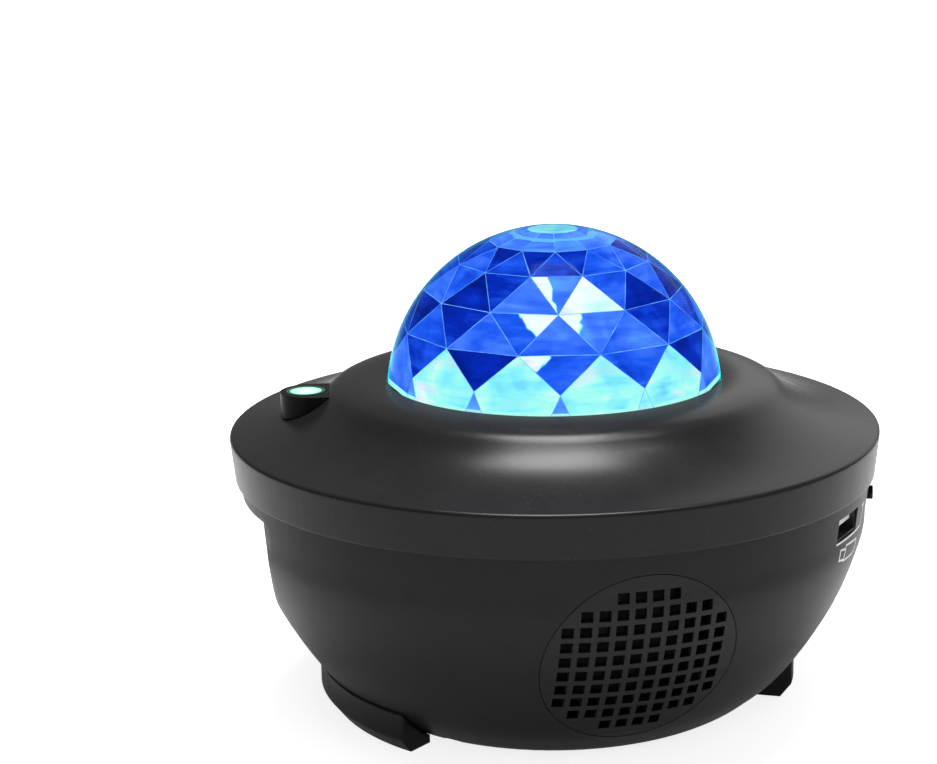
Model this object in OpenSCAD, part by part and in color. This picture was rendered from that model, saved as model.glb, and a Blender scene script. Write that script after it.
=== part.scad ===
// Night light projector: a round case on two curved feet, with a faceted dome that throws
// a rippling light, a laser pod that throws star points, and a loudspeaker in the front.
// Millimetres, +Z up. The origin is the middle of the footprint, on the surface it stands on.
// -Y is the front, where the loudspeaker looks out. Azimuths run from -Y towards +X.

/* [Case] */
// Radius of the rim, the widest edge of the case
rim_r = 84; // [82:0.5:88]
// How much narrower the band is at its bottom edge than at the rim
band_draft = 1.1; // [0.4:0.1:2]
// How far the band stands out over the bowl at the seam
band_overhang = 1.1; // [0.4:0.1:2]
// Height of the bowl's underside above the floor
foot_h = 1.9; // [1.5:0.1:3]
// Height of the bowl from its underside to the seam
bowl_h = 59.1; // [58:0.1:64]
// Height of the band from the seam to the rim
band_h = 10.9; // [9:0.1:14]
// Height that the top of the case climbs from the rim to the collar's edge
flare_h = 10.9; // [10:0.1:12]
// Radius of the collar's edge, where the flare ends
collar_r = 57.4; // [56:0.1:58]
// Height that the collar climbs from its edge to the dome
collar_rise = 1.4; // [1:0.1:2]
// How far the collar would swell above the dome's seat if its top weren't rounded
collar_swell = 0.9; // [0.6:0.1:1.2]
// Rounding of the collar's edge
collar_round = 2; // [1:0.25:3]
// Wall of the top cover
cover_wall = 2.2; // [1.8:0.1:2.8]
// Wall of the bowl
bowl_wall = 2.4; // [2:0.1:3]
// Rounding of the rim's edge
rim_round = 1; // [0.5:0.1:1.6]
// Clearance between fixed plastic parts that seat in each other
seat_gap = 0.15; // [0.1:0.05:0.25]

/* [Side facet] */
// Azimuth of the flat on the side of the bowl, and of the laser pod above it
facet_az = -100; // [-104:1:-96]
// Depth of the flat's top edge below the bowl's lip
facet_depth = 6.9; // [5:0.1:7.5]
// Height of the flat's top edge below the seam
facet_drop = 4.1; // [3:0.1:6]
// Lean of the flat from the vertical, in degrees
facet_lean = 4; // [2:0.5:6]

/* [Base and feet] */
// Radius of the base plate
base_plate_r = 43; // [41:0.25:44]
// Thickness of the base plate
base_plate_t = 2.2; // [1.8:0.1:2.6]
// Outer radius of the feet
foot_r = 63.1; // [62.5:0.1:63.8]
// Inner radius of the feet
foot_inner_r = 53; // [52.6:0.1:53.4]
// Width of the feet's flat bottom
foot_flat = 7.2; // [6.6:0.1:7.6]
// Height at which the feet reach their outer radius
foot_belly_z = 3.8; // [3:0.1:5]
// Azimuths of the front ends of the left and right feet
left_foot_az = -52.5; // [-56:0.5:-50]
right_foot_az = 60.5; // [58:0.5:64]
// Angle that each foot spans
foot_span = 66; // [60:1:70]

/* [Dome] */
// Radius of the dome's outer sphere
dome_r = 43.3; // [43:0.1:43.8]
// Depth of the sphere's centre below the dome's seat
dome_drop = 4.5; // [4:0.1:5]
// Radius of the flat on the dome's top
dome_cap_r = 5.9; // [4:0.1:6.5]
// Turn of the corners of the dome's inner facets about its axis
dome_turn = -13.8; // [-15:0.1:15]
// Wall of the dome at the corners of its facets
dome_wall = 2; // [1.6:0.1:2.4]
// Width of the dome's clamping flange
dome_flange = 2.6; // [2:0.1:3]
// Thickness of the dome's clamping flange
dome_flange_t = 1.5; // [1.2:0.1:1.8]
// Height of the ring that clamps the dome
dome_ring_h = 3.6; // [3:0.1:4.4]
// Gap between the dome and the cover's opening
dome_gap = 0.25; // [0.2:0.05:0.4]

/* [Laser pod] */
// Distance of the laser's beam inside the rim
laser_inset = 19.9; // [19.5:0.1:20.4]
// Height of the pod's top above the rim
pod_h = 10; // [9.6:0.1:10.4]
// Width of the pod
pod_w = 15; // [14:0.25:15.5]
// Reach of the pod's round end beyond the beam
pod_reach = 6.6; // [6.4:0.1:7.2]
// Radius of the window in the pod
window_r = 4.1; // [3.6:0.1:4.4]
// Thickness of the window
window_t = 1.4; // [1:0.1:1.8]
// Width of the trim ring around the window
bezel_w = 0.9; // [0.7:0.05:0.95]
// Radius of the bore that the beam climbs through
beam_bore_r = 3.2; // [2.8:0.1:3.4]
// Radius of the pod's spigot through the cover
spigot_r = 5.4; // [5.3:0.1:5.5]
// Length of the spigot below the cover's upper face
spigot_l = 4.2; // [3.4:0.1:4.6]

/* [Loudspeaker] */
// Height of the loudspeaker's axis above the bowl's underside
speaker_lift = 30.15; // [29.75:0.05:31.25]
// Radius of the grille disc
grille_r = 23.8; // [23.4:0.1:24.2]
// Thickness of the grille disc
grille_t = 2.1; // [1.8:0.1:2.3]
// Spacing of the grille's square holes
hole_pitch = 4.12; // [4.05:0.01:4.16]
// Width of the grille's square holes
hole_w = 2.75; // [2.4:0.05:2.9]
// Number of holes in each row of the grille, from its top to its bottom
hole_rows = [4, 8, 10, 10, 10, 10, 10, 10, 8, 4];
// Distance of the loudspeaker's seat inside the rim
speaker_inset = 33; // [32:0.25:34]
// Radius of the loudspeaker's frame
speaker_r = 26; // [25.5:0.1:26.4]
// Radius of the cone
cone_r = 18.3; // [17.5:0.1:19]
// Depth of the loudspeaker's basket
basket_h = 9; // [8:0.25:10]
// Radius of the magnet
magnet_r = 15; // [14:0.25:16]
// Length of the magnet
magnet_l = 8; // [7:0.25:10]
// Gap between the cone and its surround
cone_gap = 0.3; // [0.25:0.05:0.4]

/* [Case screws] */
// Radius of the circle of the four case screws
boss_ring_r = 51.5; // [51:0.1:52]
// Radius of the screw bosses
boss_r = 4; // [3.7:0.1:4.2]
// Radius of the screws' shank
screw_r = 1.4; // [1.2:0.05:1.6]
// Radius of the screws' head
screw_head_r = 2.6; // [2.3:0.1:2.9]
// Height of the screws' head
screw_head_h = 1.8; // [1.5:0.1:2.2]
// Clearance around the screws
screw_gap = 0.05; // [0.03:0.01:0.08]
// Material left under a sunk screw head
head_seat_t = 3; // [2.5:0.1:4]

/* [Chassis and light engine] */
// Height of the chassis plate above the bowl's underside
chassis_lift = 52; // [51.75:0.25:52.75]
// Thickness of the chassis plate
chassis_t = 2; // [1.6:0.1:2.4]
// Radius of the chassis plate
chassis_r = 47; // [46:0.25:47.5]
// Radius of the shroud around the light engine, inside
shroud_r = 41; // [40.5:0.1:41.2]
// Wall of the shroud
shroud_wall = 1.4; // [1.2:0.1:1.6]
// Thickness of the aluminium plate that cools the light board
heat_plate_t = 2; // [1.6:0.1:2.4]
// Radius of the light board and its cooling plate
led_board_r = 38; // [37:0.25:39]
// Thickness of the circuit boards
board_t = 1.6; // [1.2:0.1:2]
// Radius of the circle of lamps
led_ring_r = 29; // [28.5:0.25:30]
// Number of lamps
led_count = 8; // [8:8:8]
// Width of a lamp chip
led_w = 3.5; // [3:0.1:4]
// Height of a lamp chip
led_h = 0.7; // [0.6:0.05:1]
// Radius of a lamp's lens
led_lens_r = 4; // [3.6:0.1:4.4]
// Height of a lamp's lens
led_lens_h = 4.5; // [4:0.1:5]
// Module of the ripple disc's gears
ripple_m = 0.8; // [0.8:0.01:0.82]
// Teeth of the ripple disc's gear and of its pinion
ripple_teeth = 36; // [36:36:36]
ripple_pinion_teeth = 12; // [12:12:12]
// Radius of the ripple disc
ripple_r = 39; // [38:0.25:39.5]
// Thickness of the ripple disc
ripple_t = 1.6; // [1.4:0.1:2]
// Width of the ripple gears' teeth
ripple_face = 3; // [2.5:0.1:3.4]
// Radius of the ripple disc's spindle
spindle_r = 1.5; // [1.2:0.1:1.8]
// Radius and height of the ripple motor
ripple_motor_r = 8; // [7:0.25:8.2]
ripple_motor_h = 13.4; // [12.5:0.1:13.6]
// Radius of the motors' shafts
shaft_r = 0.75; // [0.6:0.05:0.9]
// Clearance of a shaft or gear that turns in or on another part
run_gap = 0.06; // [0.04:0.01:0.08]
// Clearance between a moving part and whatever it passes
pass_gap = 0.6; // [0.5:0.05:0.8]

/* [Laser engine] */
// Radius and length of the laser module's barrel
barrel_r = 6; // [5.6:0.1:6.2]
barrel_l = 22; // [20:0.5:24]
// How far the barrel hangs below the chassis
barrel_hang = 11; // [9:0.5:12]
// Width of the aluminium block that holds the barrel
block_w = 14; // [13.4:0.1:14.4]
// Height of that block
block_h = 8; // [7:0.25:9]
// Module of the star grating's gears
star_m = 0.5; // [0.5:0.01:0.51]
// Radius of the star grating's disc
star_r = 5.6; // [5.2:0.1:6]
// Thickness of the star grating's disc
star_t = 0.8; // [0.6:0.1:1]
// Radius and height of the star grating's motor
star_motor_r = 4.2; // [3.8:0.1:4.4]
star_motor_h = 8; // [7:0.25:8.4]

/* [Controls and sockets] */
// Azimuth of the USB socket
usb_az = 47.2; // [45:0.2:49]
// Depth of the sockets' and buttons' middle line below the seam
port_drop = 6.8; // [6:0.1:7.2]
// Width and height of the USB socket's mouth
usb_w = 12.5; // [12.3:0.1:12.7]
usb_h = 5.1; // [5:0.05:5.2]
// Length of the USB socket
usb_l = 14; // [13:0.25:15]
// Wall of the USB socket's shell
usb_wall = 0.3; // [0.25:0.05:0.4]
// Azimuth of the first of the four side buttons, and the angle between them
button_az = 68; // [66:0.5:69]
button_step = 9.5; // [9:0.1:10]
// Radius of the side buttons
button_r = 1.8; // [1.6:0.1:2]
// How far the side buttons stand out of the bowl
button_out = 1.5; // [1.2:0.1:1.8]
// Travel of the side buttons
button_travel = 0.5; // [0.3:0.05:0.6]
// Radius and thickness of the side buttons' flange
button_flange_r = 2.6; // [2.4:0.1:2.7]
button_flange_t = 1; // [0.8:0.1:1.2]
// Running gap around the side buttons
button_gap = 0.15; // [0.1:0.05:0.2]
// Size of the push switches behind the side buttons
switch_w = 6; // [5.5:0.25:6.5]
switch_d = 3.6; // [3.2:0.1:4]
// Radial width of the curved socket board
io_board_w = 17; // [16.5:0.25:18]
// Distance of the power inlet from the middle of the flat, towards the back
jack_offset = 17; // [16:0.5:18]
// Depth of the power inlet's axis below the flat's top edge
jack_drop = 13; // [12:0.25:14]
// Radius of the power inlet's bore and of its pin
jack_bore_r = 3.2; // [3:0.1:3.4]
jack_pin_r = 1; // [0.9:0.05:1.1]
// Width and length of the power inlet's body
jack_w = 9; // [8.6:0.1:9.4]
jack_l = 12; // [11:0.25:13]

/* [Main board] */
// Width and depth of the main board
main_board_x = 50; // [48:0.5:52]
main_board_y = 36; // [34:0.5:38]
// Front edge of the main board, measured back from the middle of the case
main_board_front = -8; // [-10:0.5:-6]
// Height of the main board's standoffs on the base plate
standoff_h = 8; // [7:0.25:10]
// Radius of the standoffs
standoff_r = 3; // [2.8:0.1:3.4]
// Inset of the boards' screws from their edges
board_screw_in = 4; // [3.6:0.1:4.6]

/* [Hidden] */

$fn = 64;
spline_steps = 5;
curve_steps = 10;
corner_steps = 4;
reach = 1; // how far a cutter runs past the face that it opens

// Heights and radii of the case
seam_z = foot_h + bowl_h;
rim_z = seam_z + band_h;
collar_z = rim_z + flare_h;
seat_z = collar_z + collar_rise;
skirt_low_r = rim_r - band_draft;
lip_r = skirt_low_r - band_overhang;
chassis_z = foot_h + chassis_lift;
deck_z = chassis_z + chassis_t;
facet_top_z = seam_z - facet_drop;
facet_d = lip_r - facet_depth;
port_z = seam_z - port_drop;
laser_r = rim_r - laser_inset;
speaker_y = rim_r - speaker_inset;
speaker_z = foot_h + speaker_lift;

// ---------- outlines ----------

// Curve through b and c, with a before them and d after them
function spline_point(a, b, c, d, t) =
    0.5 * (2 * b + (c - a) * t + (2 * a - 5 * b + 4 * c - d) * t * t + (3 * b - a - 3 * c + d) * t * t * t);
function spline(p, n) = concat(
    [for (i = [0:len(p) - 2]) for (j = [0:n - 1])
        spline_point(p[max(i - 1, 0)], p[i], p[i + 1], p[min(i + 2, len(p) - 1)], j / n)],
    [p[len(p) - 1]]
);
// Curve from a to c that heads for b
function bend(a, b, c, n) =
    [for (i = [0:n]) let (t = i / n) (1 - t) * (1 - t) * a + 2 * t * (1 - t) * b + t * t * c];
// The point at distance d from a on the way to b
function toward(a, b, d) = a + (b - a) / norm(b - a) * d;
function left_of(a, b) = let (u = (b - a) / norm(b - a)) [-u[1], u[0]];
// A path of corners moved to its left by d
function shifted(p, d) = [for (i = [0:len(p) - 1])
    let (last = len(p) - 1, n1 = left_of(p[max(i - 1, 0)], p[max(i, 1)]),
        n2 = left_of(p[min(i, last - 1)], p[min(i + 1, last)]))
    p[i] + d * (n1 + n2) / (1 + n1 * n2)];
function tail(p) = [for (i = [1:len(p) - 1]) p[i]];
function end_of(p) = p[len(p) - 1];

// The bowl's knots: how far each lies inside the lip, and its height above the underside
bowl_knots = [[29.3, 0], [25.75, 2.5], [18.1, 10], [8, 26], [2, 42], [1, 50], [0, bowl_h]];
bowl_corners = concat([[0, foot_h]], [for (k = bowl_knots) [lip_r - k[0], foot_h + k[1]]]);
function bowl_outline(e) = spline(tail(shifted(bowl_corners, e)), spline_steps);
bowl_table = [for (p = bowl_outline(0)) [p[1], p[0]]];
function bowl_r_at(z) = lookup(z, bowl_table);

// The dome is smooth outside and cut in facets inside. The facets' corners stand in rings at
// these latitudes, and each ring is turned half a step
dome_sides = 12;
dome_step = 360 / dome_sides;
dome_lats = [12.9, 24.7, 39.1, 52.7, 65.9];
dome_lean = 0.09;
dome_centre_z = seat_z - dome_drop;
dome_base_r = sqrt(pow(dome_r, 2) - pow(dome_drop, 2));
dome_top_z = dome_centre_z + sqrt(pow(dome_r, 2) - pow(dome_cap_r, 2));
dome_bore_r = dome_base_r - dome_wall;
dome_open_r = dome_base_r + dome_gap;
dome_ring_rs = [for (a = dome_lats) (dome_r - dome_wall) * cos(a)];
dome_ring_zs = [for (a = dome_lats) dome_centre_z + (dome_r - dome_wall) * sin(a)];
// The big facets of the bottom row, and the small triangles between them, run down to the bore
dome_low_z = seat_z - reach;
kite_d = dome_ring_rs[0] * cos(dome_step / 2);
kite_slope = (kite_d - dome_ring_rs[1]) / (dome_ring_zs[1] - dome_ring_zs[0]);
kite_low_d = kite_d + kite_slope * (dome_ring_zs[0] - dome_low_z);
triangle_d = dome_ring_rs[0] + dome_lean * (dome_ring_zs[0] - dome_low_z);
triangle_half = (kite_low_d - triangle_d * cos(dome_step / 2)) / sin(dome_step / 2);
dome_low_r = norm([triangle_d, triangle_half]);
dome_low_turn = atan(triangle_half / triangle_d);

// The cover's corners, from the bottom edge of the band to just inside the dome's opening
flare_fraction = [0.323, 0.275];
swell_fraction = 0.47;
swell_r = dome_open_r + (collar_r - dome_open_r) * swell_fraction;
cover_corners = [
    [skirt_low_r, seam_z], [rim_r, rim_z],
    [collar_r + (rim_r - collar_r) * flare_fraction[0], rim_z + flare_h * flare_fraction[1]],
    [collar_r, collar_z], [swell_r, seat_z + collar_swell],
    [dome_open_r - reach, seat_z - reach * collar_swell / (swell_r - dome_open_r)]
];
function cover_curve(c) = let (
    rim_start = toward(c[1], c[0], rim_round), rim_end = toward(c[1], c[2], rim_round),
    collar_start = toward(c[3], c[2], collar_round), collar_end = toward(c[3], c[4], collar_round)
) concat(
    [c[0]], bend(rim_start, c[1], rim_end, corner_steps),
    tail(bend(rim_end, c[2], collar_start, curve_steps)),
    tail(bend(collar_start, c[3], collar_end, corner_steps)),
    tail(bend(collar_end, c[4], c[5], curve_steps / 2))
);
function cover_outline(e) = cover_curve(shifted(cover_corners, e));
cover_table = [for (p = cover_outline(0)) if (p[1] > seam_z) p];
function cover_z_at(r) = lookup(r, cover_table);
cover_under_table = [for (p = cover_outline(cover_wall)) if (p[1] > seam_z + cover_wall) p];
function cover_under_z_at(r) = lookup(r, cover_under_table);

// ---------- places that several pieces share ----------

boss_azimuths = [45, 135, 225, 315];
ear_azimuths = [0, 90, 180, 270];
base_screw_azimuths = [30, 150, 210, 330];
base_ledge_w = 3;
base_rim_w = 2.4;
base_rim_h = 2;
base_screw_inset = 4;
base_ledge_r = base_plate_r - base_ledge_w;
base_screw_ring_r = base_plate_r - base_screw_inset;
base_top_z = foot_h + base_plate_t;
base_seat_z = foot_h + 1; // the base screws' heads are sunk this far
pilot_r = screw_r + screw_gap;
head_margin = 0.2;
sunk_r = screw_head_r + head_margin;
screw_bite = 8;
tip_room = 1; // left beyond the tip of a screw
post_r = 3;
foot_screw_ring_r = foot_inner_r + foot_flat / 2;
foot_screw_in = 15; // azimuth from the end of a foot to its screw
foot_seat_z = screw_head_h + head_margin;
case_seat_z = chassis_z - head_seat_t;

flange_r = dome_base_r + dome_flange;
flange_top_z = min(cover_under_z_at(flange_r), cover_under_z_at(dome_open_r)) - seat_gap;
flange_z = flange_top_z - dome_flange_t;
ring_top_z = flange_z - seat_gap;
ring_z = ring_top_z - dome_ring_h;
ring_ear_t = 2;
ear_out = 4;
ring_screw_bite = 3;
ear_ring_r = flange_r + ear_out;
ear_r = 3.2;

grille_ledge_w = 1.2;
grille_ledge_r = grille_r - grille_ledge_w;
gasket_t = 0.8;
frame_t = 1.2;
frame_y = speaker_y - gasket_t - frame_t;
magnet_y = frame_y - basket_h;
speaker_ear_out = 2.5;
speaker_screw_ring_r = speaker_r + speaker_ear_out;

led_board_z = deck_z + heat_plate_t;
led_z = led_board_z + board_t;
ripple_distance = ripple_m * (ripple_teeth + ripple_pinion_teeth) / 2;
ripple_gear_z = deck_z + ripple_motor_h + pass_gap;
ripple_hub_r = 5;
ripple_hub_step = 0.8;
ripple_disc_z = ripple_gear_z + ripple_face + ripple_hub_step;
shroud_h = ring_z - pass_gap - deck_z;

barrel_z = chassis_z - barrel_hang;
barrel_top_z = barrel_z + barrel_l;
nose_r = 4.4;
nose_bore_r = 2.8;
star_teeth = ripple_teeth;
star_pinion_teeth = ripple_pinion_teeth;
star_distance = star_m * (star_teeth + star_pinion_teeth) / 2;
star_face = 2;
end_gap = 0.3; // between a gear and the shoulder that it turns on
star_gear_z = barrel_top_z + end_gap;
nose_rise = 1;
nose_top_z = star_gear_z + star_face + nose_rise;
grating_gap = 0.4;
star_disc_z = nose_top_z + grating_gap;
star_turn = -90; // from the way to the middle of the case to the star grating's motor
arm_margin = 1;
arm_w = 2 * (star_distance + star_motor_r + arm_margin);
arm_reach = block_w / 2 + 0.2;

socket_sink = 0.8;
socket_face_r = bowl_r_at(port_z) - socket_sink;
usb_outer_w = usb_w + 2 * usb_wall;
usb_outer_h = usb_h + 2 * usb_wall;
io_top_z = port_z - usb_outer_h / 2;
io_z = io_top_z - board_t;
io_outer_r = bowl_r_at(io_z) - bowl_wall - pass_gap;
button_count = 4;
io_start_az = usb_az - 10;
io_end_az = button_az + (button_count - 1) * button_step + 7;
io_screw_azimuths = [io_start_az + 3.5, (usb_az + button_az) / 2 + 2, io_end_az - 2.8];
io_screw_ring_r = io_outer_r - io_board_w + sunk_r;
// The buttons' flanges stay inside the bowl's wall, which narrows downwards and curves away
flange_wall_r = bowl_r_at(port_z - button_flange_r) - bowl_wall;
button_flange_out_r = sqrt(pow(flange_wall_r, 2) - pow(button_flange_r, 2)) - button_gap;
button_stem = 1;
button_in_r = button_flange_out_r - button_flange_t - button_stem;
plunger_tip_r = button_in_r - button_travel - button_gap;
plunger_l = 1.2;
plunger_root = 0.5;

main_board_z = base_top_z + standoff_h;
main_board_back = main_board_front + main_board_y;
main_screw_xs = [-1, 1] * (main_board_x / 2 - board_screw_in);
main_screw_ys = [main_board_front + board_screw_in, main_board_back - board_screw_in];

// ---------- placing ----------

// Turns a child so that its -Y points outward at azimuth a
module at_az(a) {
    rotate([0, 0, a]) children();
}

module around(azimuths, r, z) {
    for (a = azimuths) at_az(a) translate([0, -r, z]) children();
}

// Lays a child down, so that its top points along -Y
module lay() {
    rotate([90, 0, 0]) children();
}

module on_speaker_axis(y) {
    translate([0, -y, speaker_z]) lay() children();
}

module at_speaker_screws(y) {
    on_speaker_axis(y) for (a = [45:90:315]) rotate([0, 0, a]) translate([speaker_screw_ring_r, 0, 0])
        children();
}

module at_laser(z) {
    at_az(facet_az) translate([0, -laser_r, z]) children();
}

// The middle of the flat's top edge: -Y leaves the flat at a right angle
module on_facet() {
    at_az(facet_az) translate([0, -facet_d, facet_top_z]) rotate([facet_lean, 0, 0]) children();
}

module at_jack() {
    on_facet() translate([-jack_offset, 0, -jack_drop]) children();
}

module at_main_screws(z) {
    for (x = main_screw_xs) for (y = main_screw_ys) translate([x, y, z]) children();
}

// ---------- shapes that repeat ----------

module tube(outer_r, inner_r, h) {
    difference() {
        cylinder(r = outer_r, h = h);
        translate([0, 0, -reach]) cylinder(r = inner_r, h = h + 2 * reach);
    }
}

// A pan-head screw: its head hangs below z = 0 and its shank rises to l
module screw(l) {
    slot_w = 0.6;
    difference() {
        translate([0, 0, -screw_head_h]) cylinder(r = screw_head_r, h = screw_head_h);
        for (a = [0, 90]) rotate([0, 0, a])
            translate([-screw_head_r / 2, -slot_w / 2, -screw_head_h - reach])
            cube([screw_head_r, slot_w, reach + screw_head_h / 2]);
    }
    cylinder(r = screw_r, h = l);
}

// Solid inside the bowl's outer surface, e below it, with the flat on its side
module bowl_body(e, top_z) {
    path = bowl_outline(e);
    difference() {
        rotate_extrude($fn = 128) polygon(concat(
            [[0, foot_h + e]], path, [[end_of(path)[0], top_z], [0, top_z]]
        ));
        facet_cut(e);
    }
}

module facet_cut(e) {
    out_y = -lip_r - 10;
    low_z = foot_h - reach;
    at_az(facet_az) rotate([90, 0, 90]) linear_extrude(2 * lip_r, center = true) polygon([
        [e - facet_d, facet_top_z + e], [e - facet_d + (facet_top_z - low_z) * tan(facet_lean), low_z],
        [out_y, low_z], [out_y, facet_top_z + e]
    ]);
}

// Solid inside the cover's outer surface, e below it, down to low_z
module cover_body(e, low_z) {
    path = cover_outline(e);
    rotate_extrude($fn = 128) polygon(concat(
        [[0, low_z], [path[0][0], low_z]], path, [[0, end_of(path)[1]]]
    ));
}

// Involute gear outline with a tooth on +X; slack thins each tooth
function involute(base_r, a) = base_r * [cos(a) + a * PI / 180 * sin(a), sin(a) - a * PI / 180 * cos(a)];
function turned(p, a) = [p[0] * cos(a) - p[1] * sin(a), p[0] * sin(a) + p[1] * cos(a)];
pressure = 20;
gear_slack = 0.1;
gear_tip = 0.8;
gear_root = 1.05;
flank_steps = 4;
function roll_at(base_r, r) = sqrt(max(pow(r / base_r, 2) - 1, 0)) * 180 / PI;
function gear_outline(m, teeth) = let (
    pitch_r = m * teeth / 2, base_r = pitch_r * cos(pressure),
    tip_r = pitch_r + gear_tip * m, root_r = pitch_r - gear_root * m,
    start = roll_at(base_r, max(root_r, base_r)), stop = roll_at(base_r, tip_r),
    at_pitch = involute(base_r, roll_at(base_r, pitch_r)),
    half = 90 / teeth - gear_slack / pitch_r * 90 / PI,
    offset_a = half + atan2(at_pitch[1], at_pitch[0]),
    flank = [for (i = [0:flank_steps])
        turned(involute(base_r, start + (stop - start) * i / flank_steps), -offset_a)],
    foot = root_r * [cos(atan2(flank[0][1], flank[0][0])), sin(atan2(flank[0][1], flank[0][0]))]
) [for (k = [0:teeth - 1]) for (p = concat(
    [foot], flank, [for (i = [flank_steps:-1:0]) [flank[i][0], -flank[i][1]]], [[foot[0], -foot[1]]]
)) turned(p, k * 360 / teeth)];

module gear(m, teeth, h) {
    linear_extrude(h) polygon(gear_outline(m, teeth));
}

// ---------- case ----------

module top_cover() {
    color("#2f3033") difference() {
        union() {
            difference() {
                cover_body(0, seam_z);
                cover_body(cover_wall, seam_z - reach);
            }
            intersection() {
                cover_body(cover_wall / 2, deck_z);
                union() {
                    around(boss_azimuths, boss_ring_r, deck_z)
                        cylinder(r = boss_r, h = seat_z - deck_z, $fn = 32);
                    around(ear_azimuths, ear_ring_r, ring_z + ring_ear_t)
                        cylinder(r = ear_r, h = seat_z - ring_z, $fn = 32);
                }
            }
        }
        translate([0, 0, seam_z]) cylinder(r = dome_open_r, h = seat_z, $fn = 128);
        at_laser(seam_z) cylinder(r = spigot_r + seat_gap, h = seat_z);
        around(boss_azimuths, boss_ring_r, deck_z - reach)
            cylinder(r = pilot_r, h = reach + screw_bite + tip_room);
        around(ear_azimuths, ear_ring_r, ring_z)
            cylinder(r = pilot_r, h = ring_ear_t + ring_screw_bite + tip_room / 2);
    }
}

module bowl_shell() {
    difference() {
        union() {
            difference() {
                bowl_body(0, seam_z);
                bowl_body(bowl_wall, seam_z + reach);
            }
            translate([0, 0, foot_h])
                cylinder(r = base_plate_r + base_rim_w, h = base_plate_t + base_rim_h);
        }
        translate([0, 0, foot_h - reach]) cylinder(r = base_plate_r + seat_gap, h = reach + base_plate_t);
        translate([0, 0, foot_h]) cylinder(r = base_ledge_r, h = 2 * base_plate_t + base_rim_h);
    }
}

module tongue() {
    overlap = 3;
    rise = 4.5;
    wall = 1.6;
    outer_r = skirt_low_r - cover_wall - seat_gap;
    translate([0, 0, seam_z - overlap]) difference() {
        cylinder(r = outer_r, h = overlap + rise, $fn = 128);
        translate([0, 0, -reach]) cylinder(r = outer_r - wall, h = overlap + rise + 2 * reach, $fn = 128);
        at_az(facet_az) translate([-lip_r, -2 * lip_r - facet_d, -reach]) cube([2 * lip_r, lip_r, reach]);
    }
}

module bowl_posts() {
    around(boss_azimuths, boss_ring_r, foot_h) cylinder(r = boss_r, h = chassis_z - foot_h, $fn = 32);
    around(base_screw_azimuths, base_screw_ring_r, base_top_z)
        cylinder(r = post_r, h = screw_bite + tip_room, $fn = 32);
    around(foot_screw_azimuths, foot_screw_ring_r, foot_h)
        cylinder(r = post_r, h = screw_bite + 2 * tip_room, $fn = 32);
    around(io_screw_azimuths, io_screw_ring_r, foot_h) cylinder(r = post_r, h = io_z - foot_h, $fn = 32);
    on_speaker_axis(speaker_y) cylinder(r = speaker_r, h = lip_r - speaker_y);
    at_speaker_screws(speaker_y) cylinder(r = post_r, h = lip_r - speaker_y, $fn = 32);
}

module lower_bowl() {
    color("#2f3033") difference() {
        union() {
            bowl_shell();
            tongue();
            intersection() {
                bowl_body(bowl_wall / 2, seam_z);
                bowl_posts();
            }
        }
        difference() {
            on_speaker_axis(speaker_y + reach) cylinder(r = grille_r + seat_gap, h = lip_r);
            bowl_body(grille_t + seat_gap, seam_z);
        }
        on_speaker_axis(speaker_y - reach) cylinder(r = grille_ledge_r, h = lip_r);
        at_speaker_screws(speaker_y - reach) cylinder(r = pilot_r, h = reach + screw_bite, $fn = 32);
        around(boss_azimuths, boss_ring_r, 0) {
            cylinder(r = pilot_r, h = seam_z);
            cylinder(r = sunk_r, h = case_seat_z);
        }
        around(base_screw_azimuths, base_screw_ring_r, 0)
            cylinder(r = pilot_r, h = foot_h + screw_bite + tip_room);
        around(foot_screw_azimuths, foot_screw_ring_r, 0) cylinder(r = pilot_r, h = foot_h + screw_bite);
        around(io_screw_azimuths, io_screw_ring_r, io_z - screw_bite)
            cylinder(r = pilot_r, h = screw_bite + reach);
        at_az(usb_az) translate([0, -lip_r, port_z])
            cube([usb_outer_w + 2 * seat_gap, 2 * usb_l, usb_outer_h + 2 * seat_gap], center = true);
        for (i = [0:button_count - 1]) at_button(i) translate([0, 2 * bowl_wall, 0]) lay()
            cylinder(r = button_r + button_gap, h = 4 * bowl_wall);
        at_jack() translate([0, 2 * bowl_wall, 0]) lay()
            cylinder(r = jack_nose_r + seat_gap, h = 4 * bowl_wall);
    }
}

foot_screw_azimuths = [
    left_foot_az - foot_screw_in, left_foot_az - foot_span + foot_screw_in,
    right_foot_az + foot_screw_in, right_foot_az + foot_span - foot_screw_in
];

module base_plate() {
    slot_l = 26;
    slot_w = 3;
    slot_pitch = 5;
    slot_front = -34;
    color("#2b2c2f") difference() {
        union() {
            translate([0, 0, foot_h]) cylinder(r = base_plate_r, h = base_plate_t);
            at_main_screws(base_top_z) cylinder(r = standoff_r, h = standoff_h, $fn = 32);
        }
        around(base_screw_azimuths, base_screw_ring_r, 0) {
            cylinder(r = pilot_r, h = base_top_z + reach);
            cylinder(r = sunk_r, h = base_seat_z);
        }
        at_main_screws(base_top_z) cylinder(r = pilot_r, h = standoff_h + reach);
        for (i = [0:4]) translate([-slot_l / 2, slot_front + slot_pitch * i, 0])
            cube([slot_l, slot_w, base_top_z + reach]);
    }
}

// A curved foot from azimuth a to b; its outside leans in towards the floor
module foot(a, b) {
    top_z = foot_belly_z + 12; // the bowl cuts the foot off below this
    color("#2b2c2f") difference() {
        rotate([0, 0, a - 90]) rotate_extrude(angle = b - a, $fn = 128) polygon([
            [foot_inner_r, 0], [foot_inner_r + foot_flat, 0], [foot_r, foot_belly_z],
            [foot_r, top_z], [foot_inner_r, top_z]
        ]);
        bowl_body(-seat_gap / 2, seam_z);
        around(foot_screw_azimuths, foot_screw_ring_r, -reach) {
            cylinder(r = pilot_r, h = seam_z);
            cylinder(r = sunk_r, h = reach + foot_seat_z);
        }
    }
}

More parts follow.
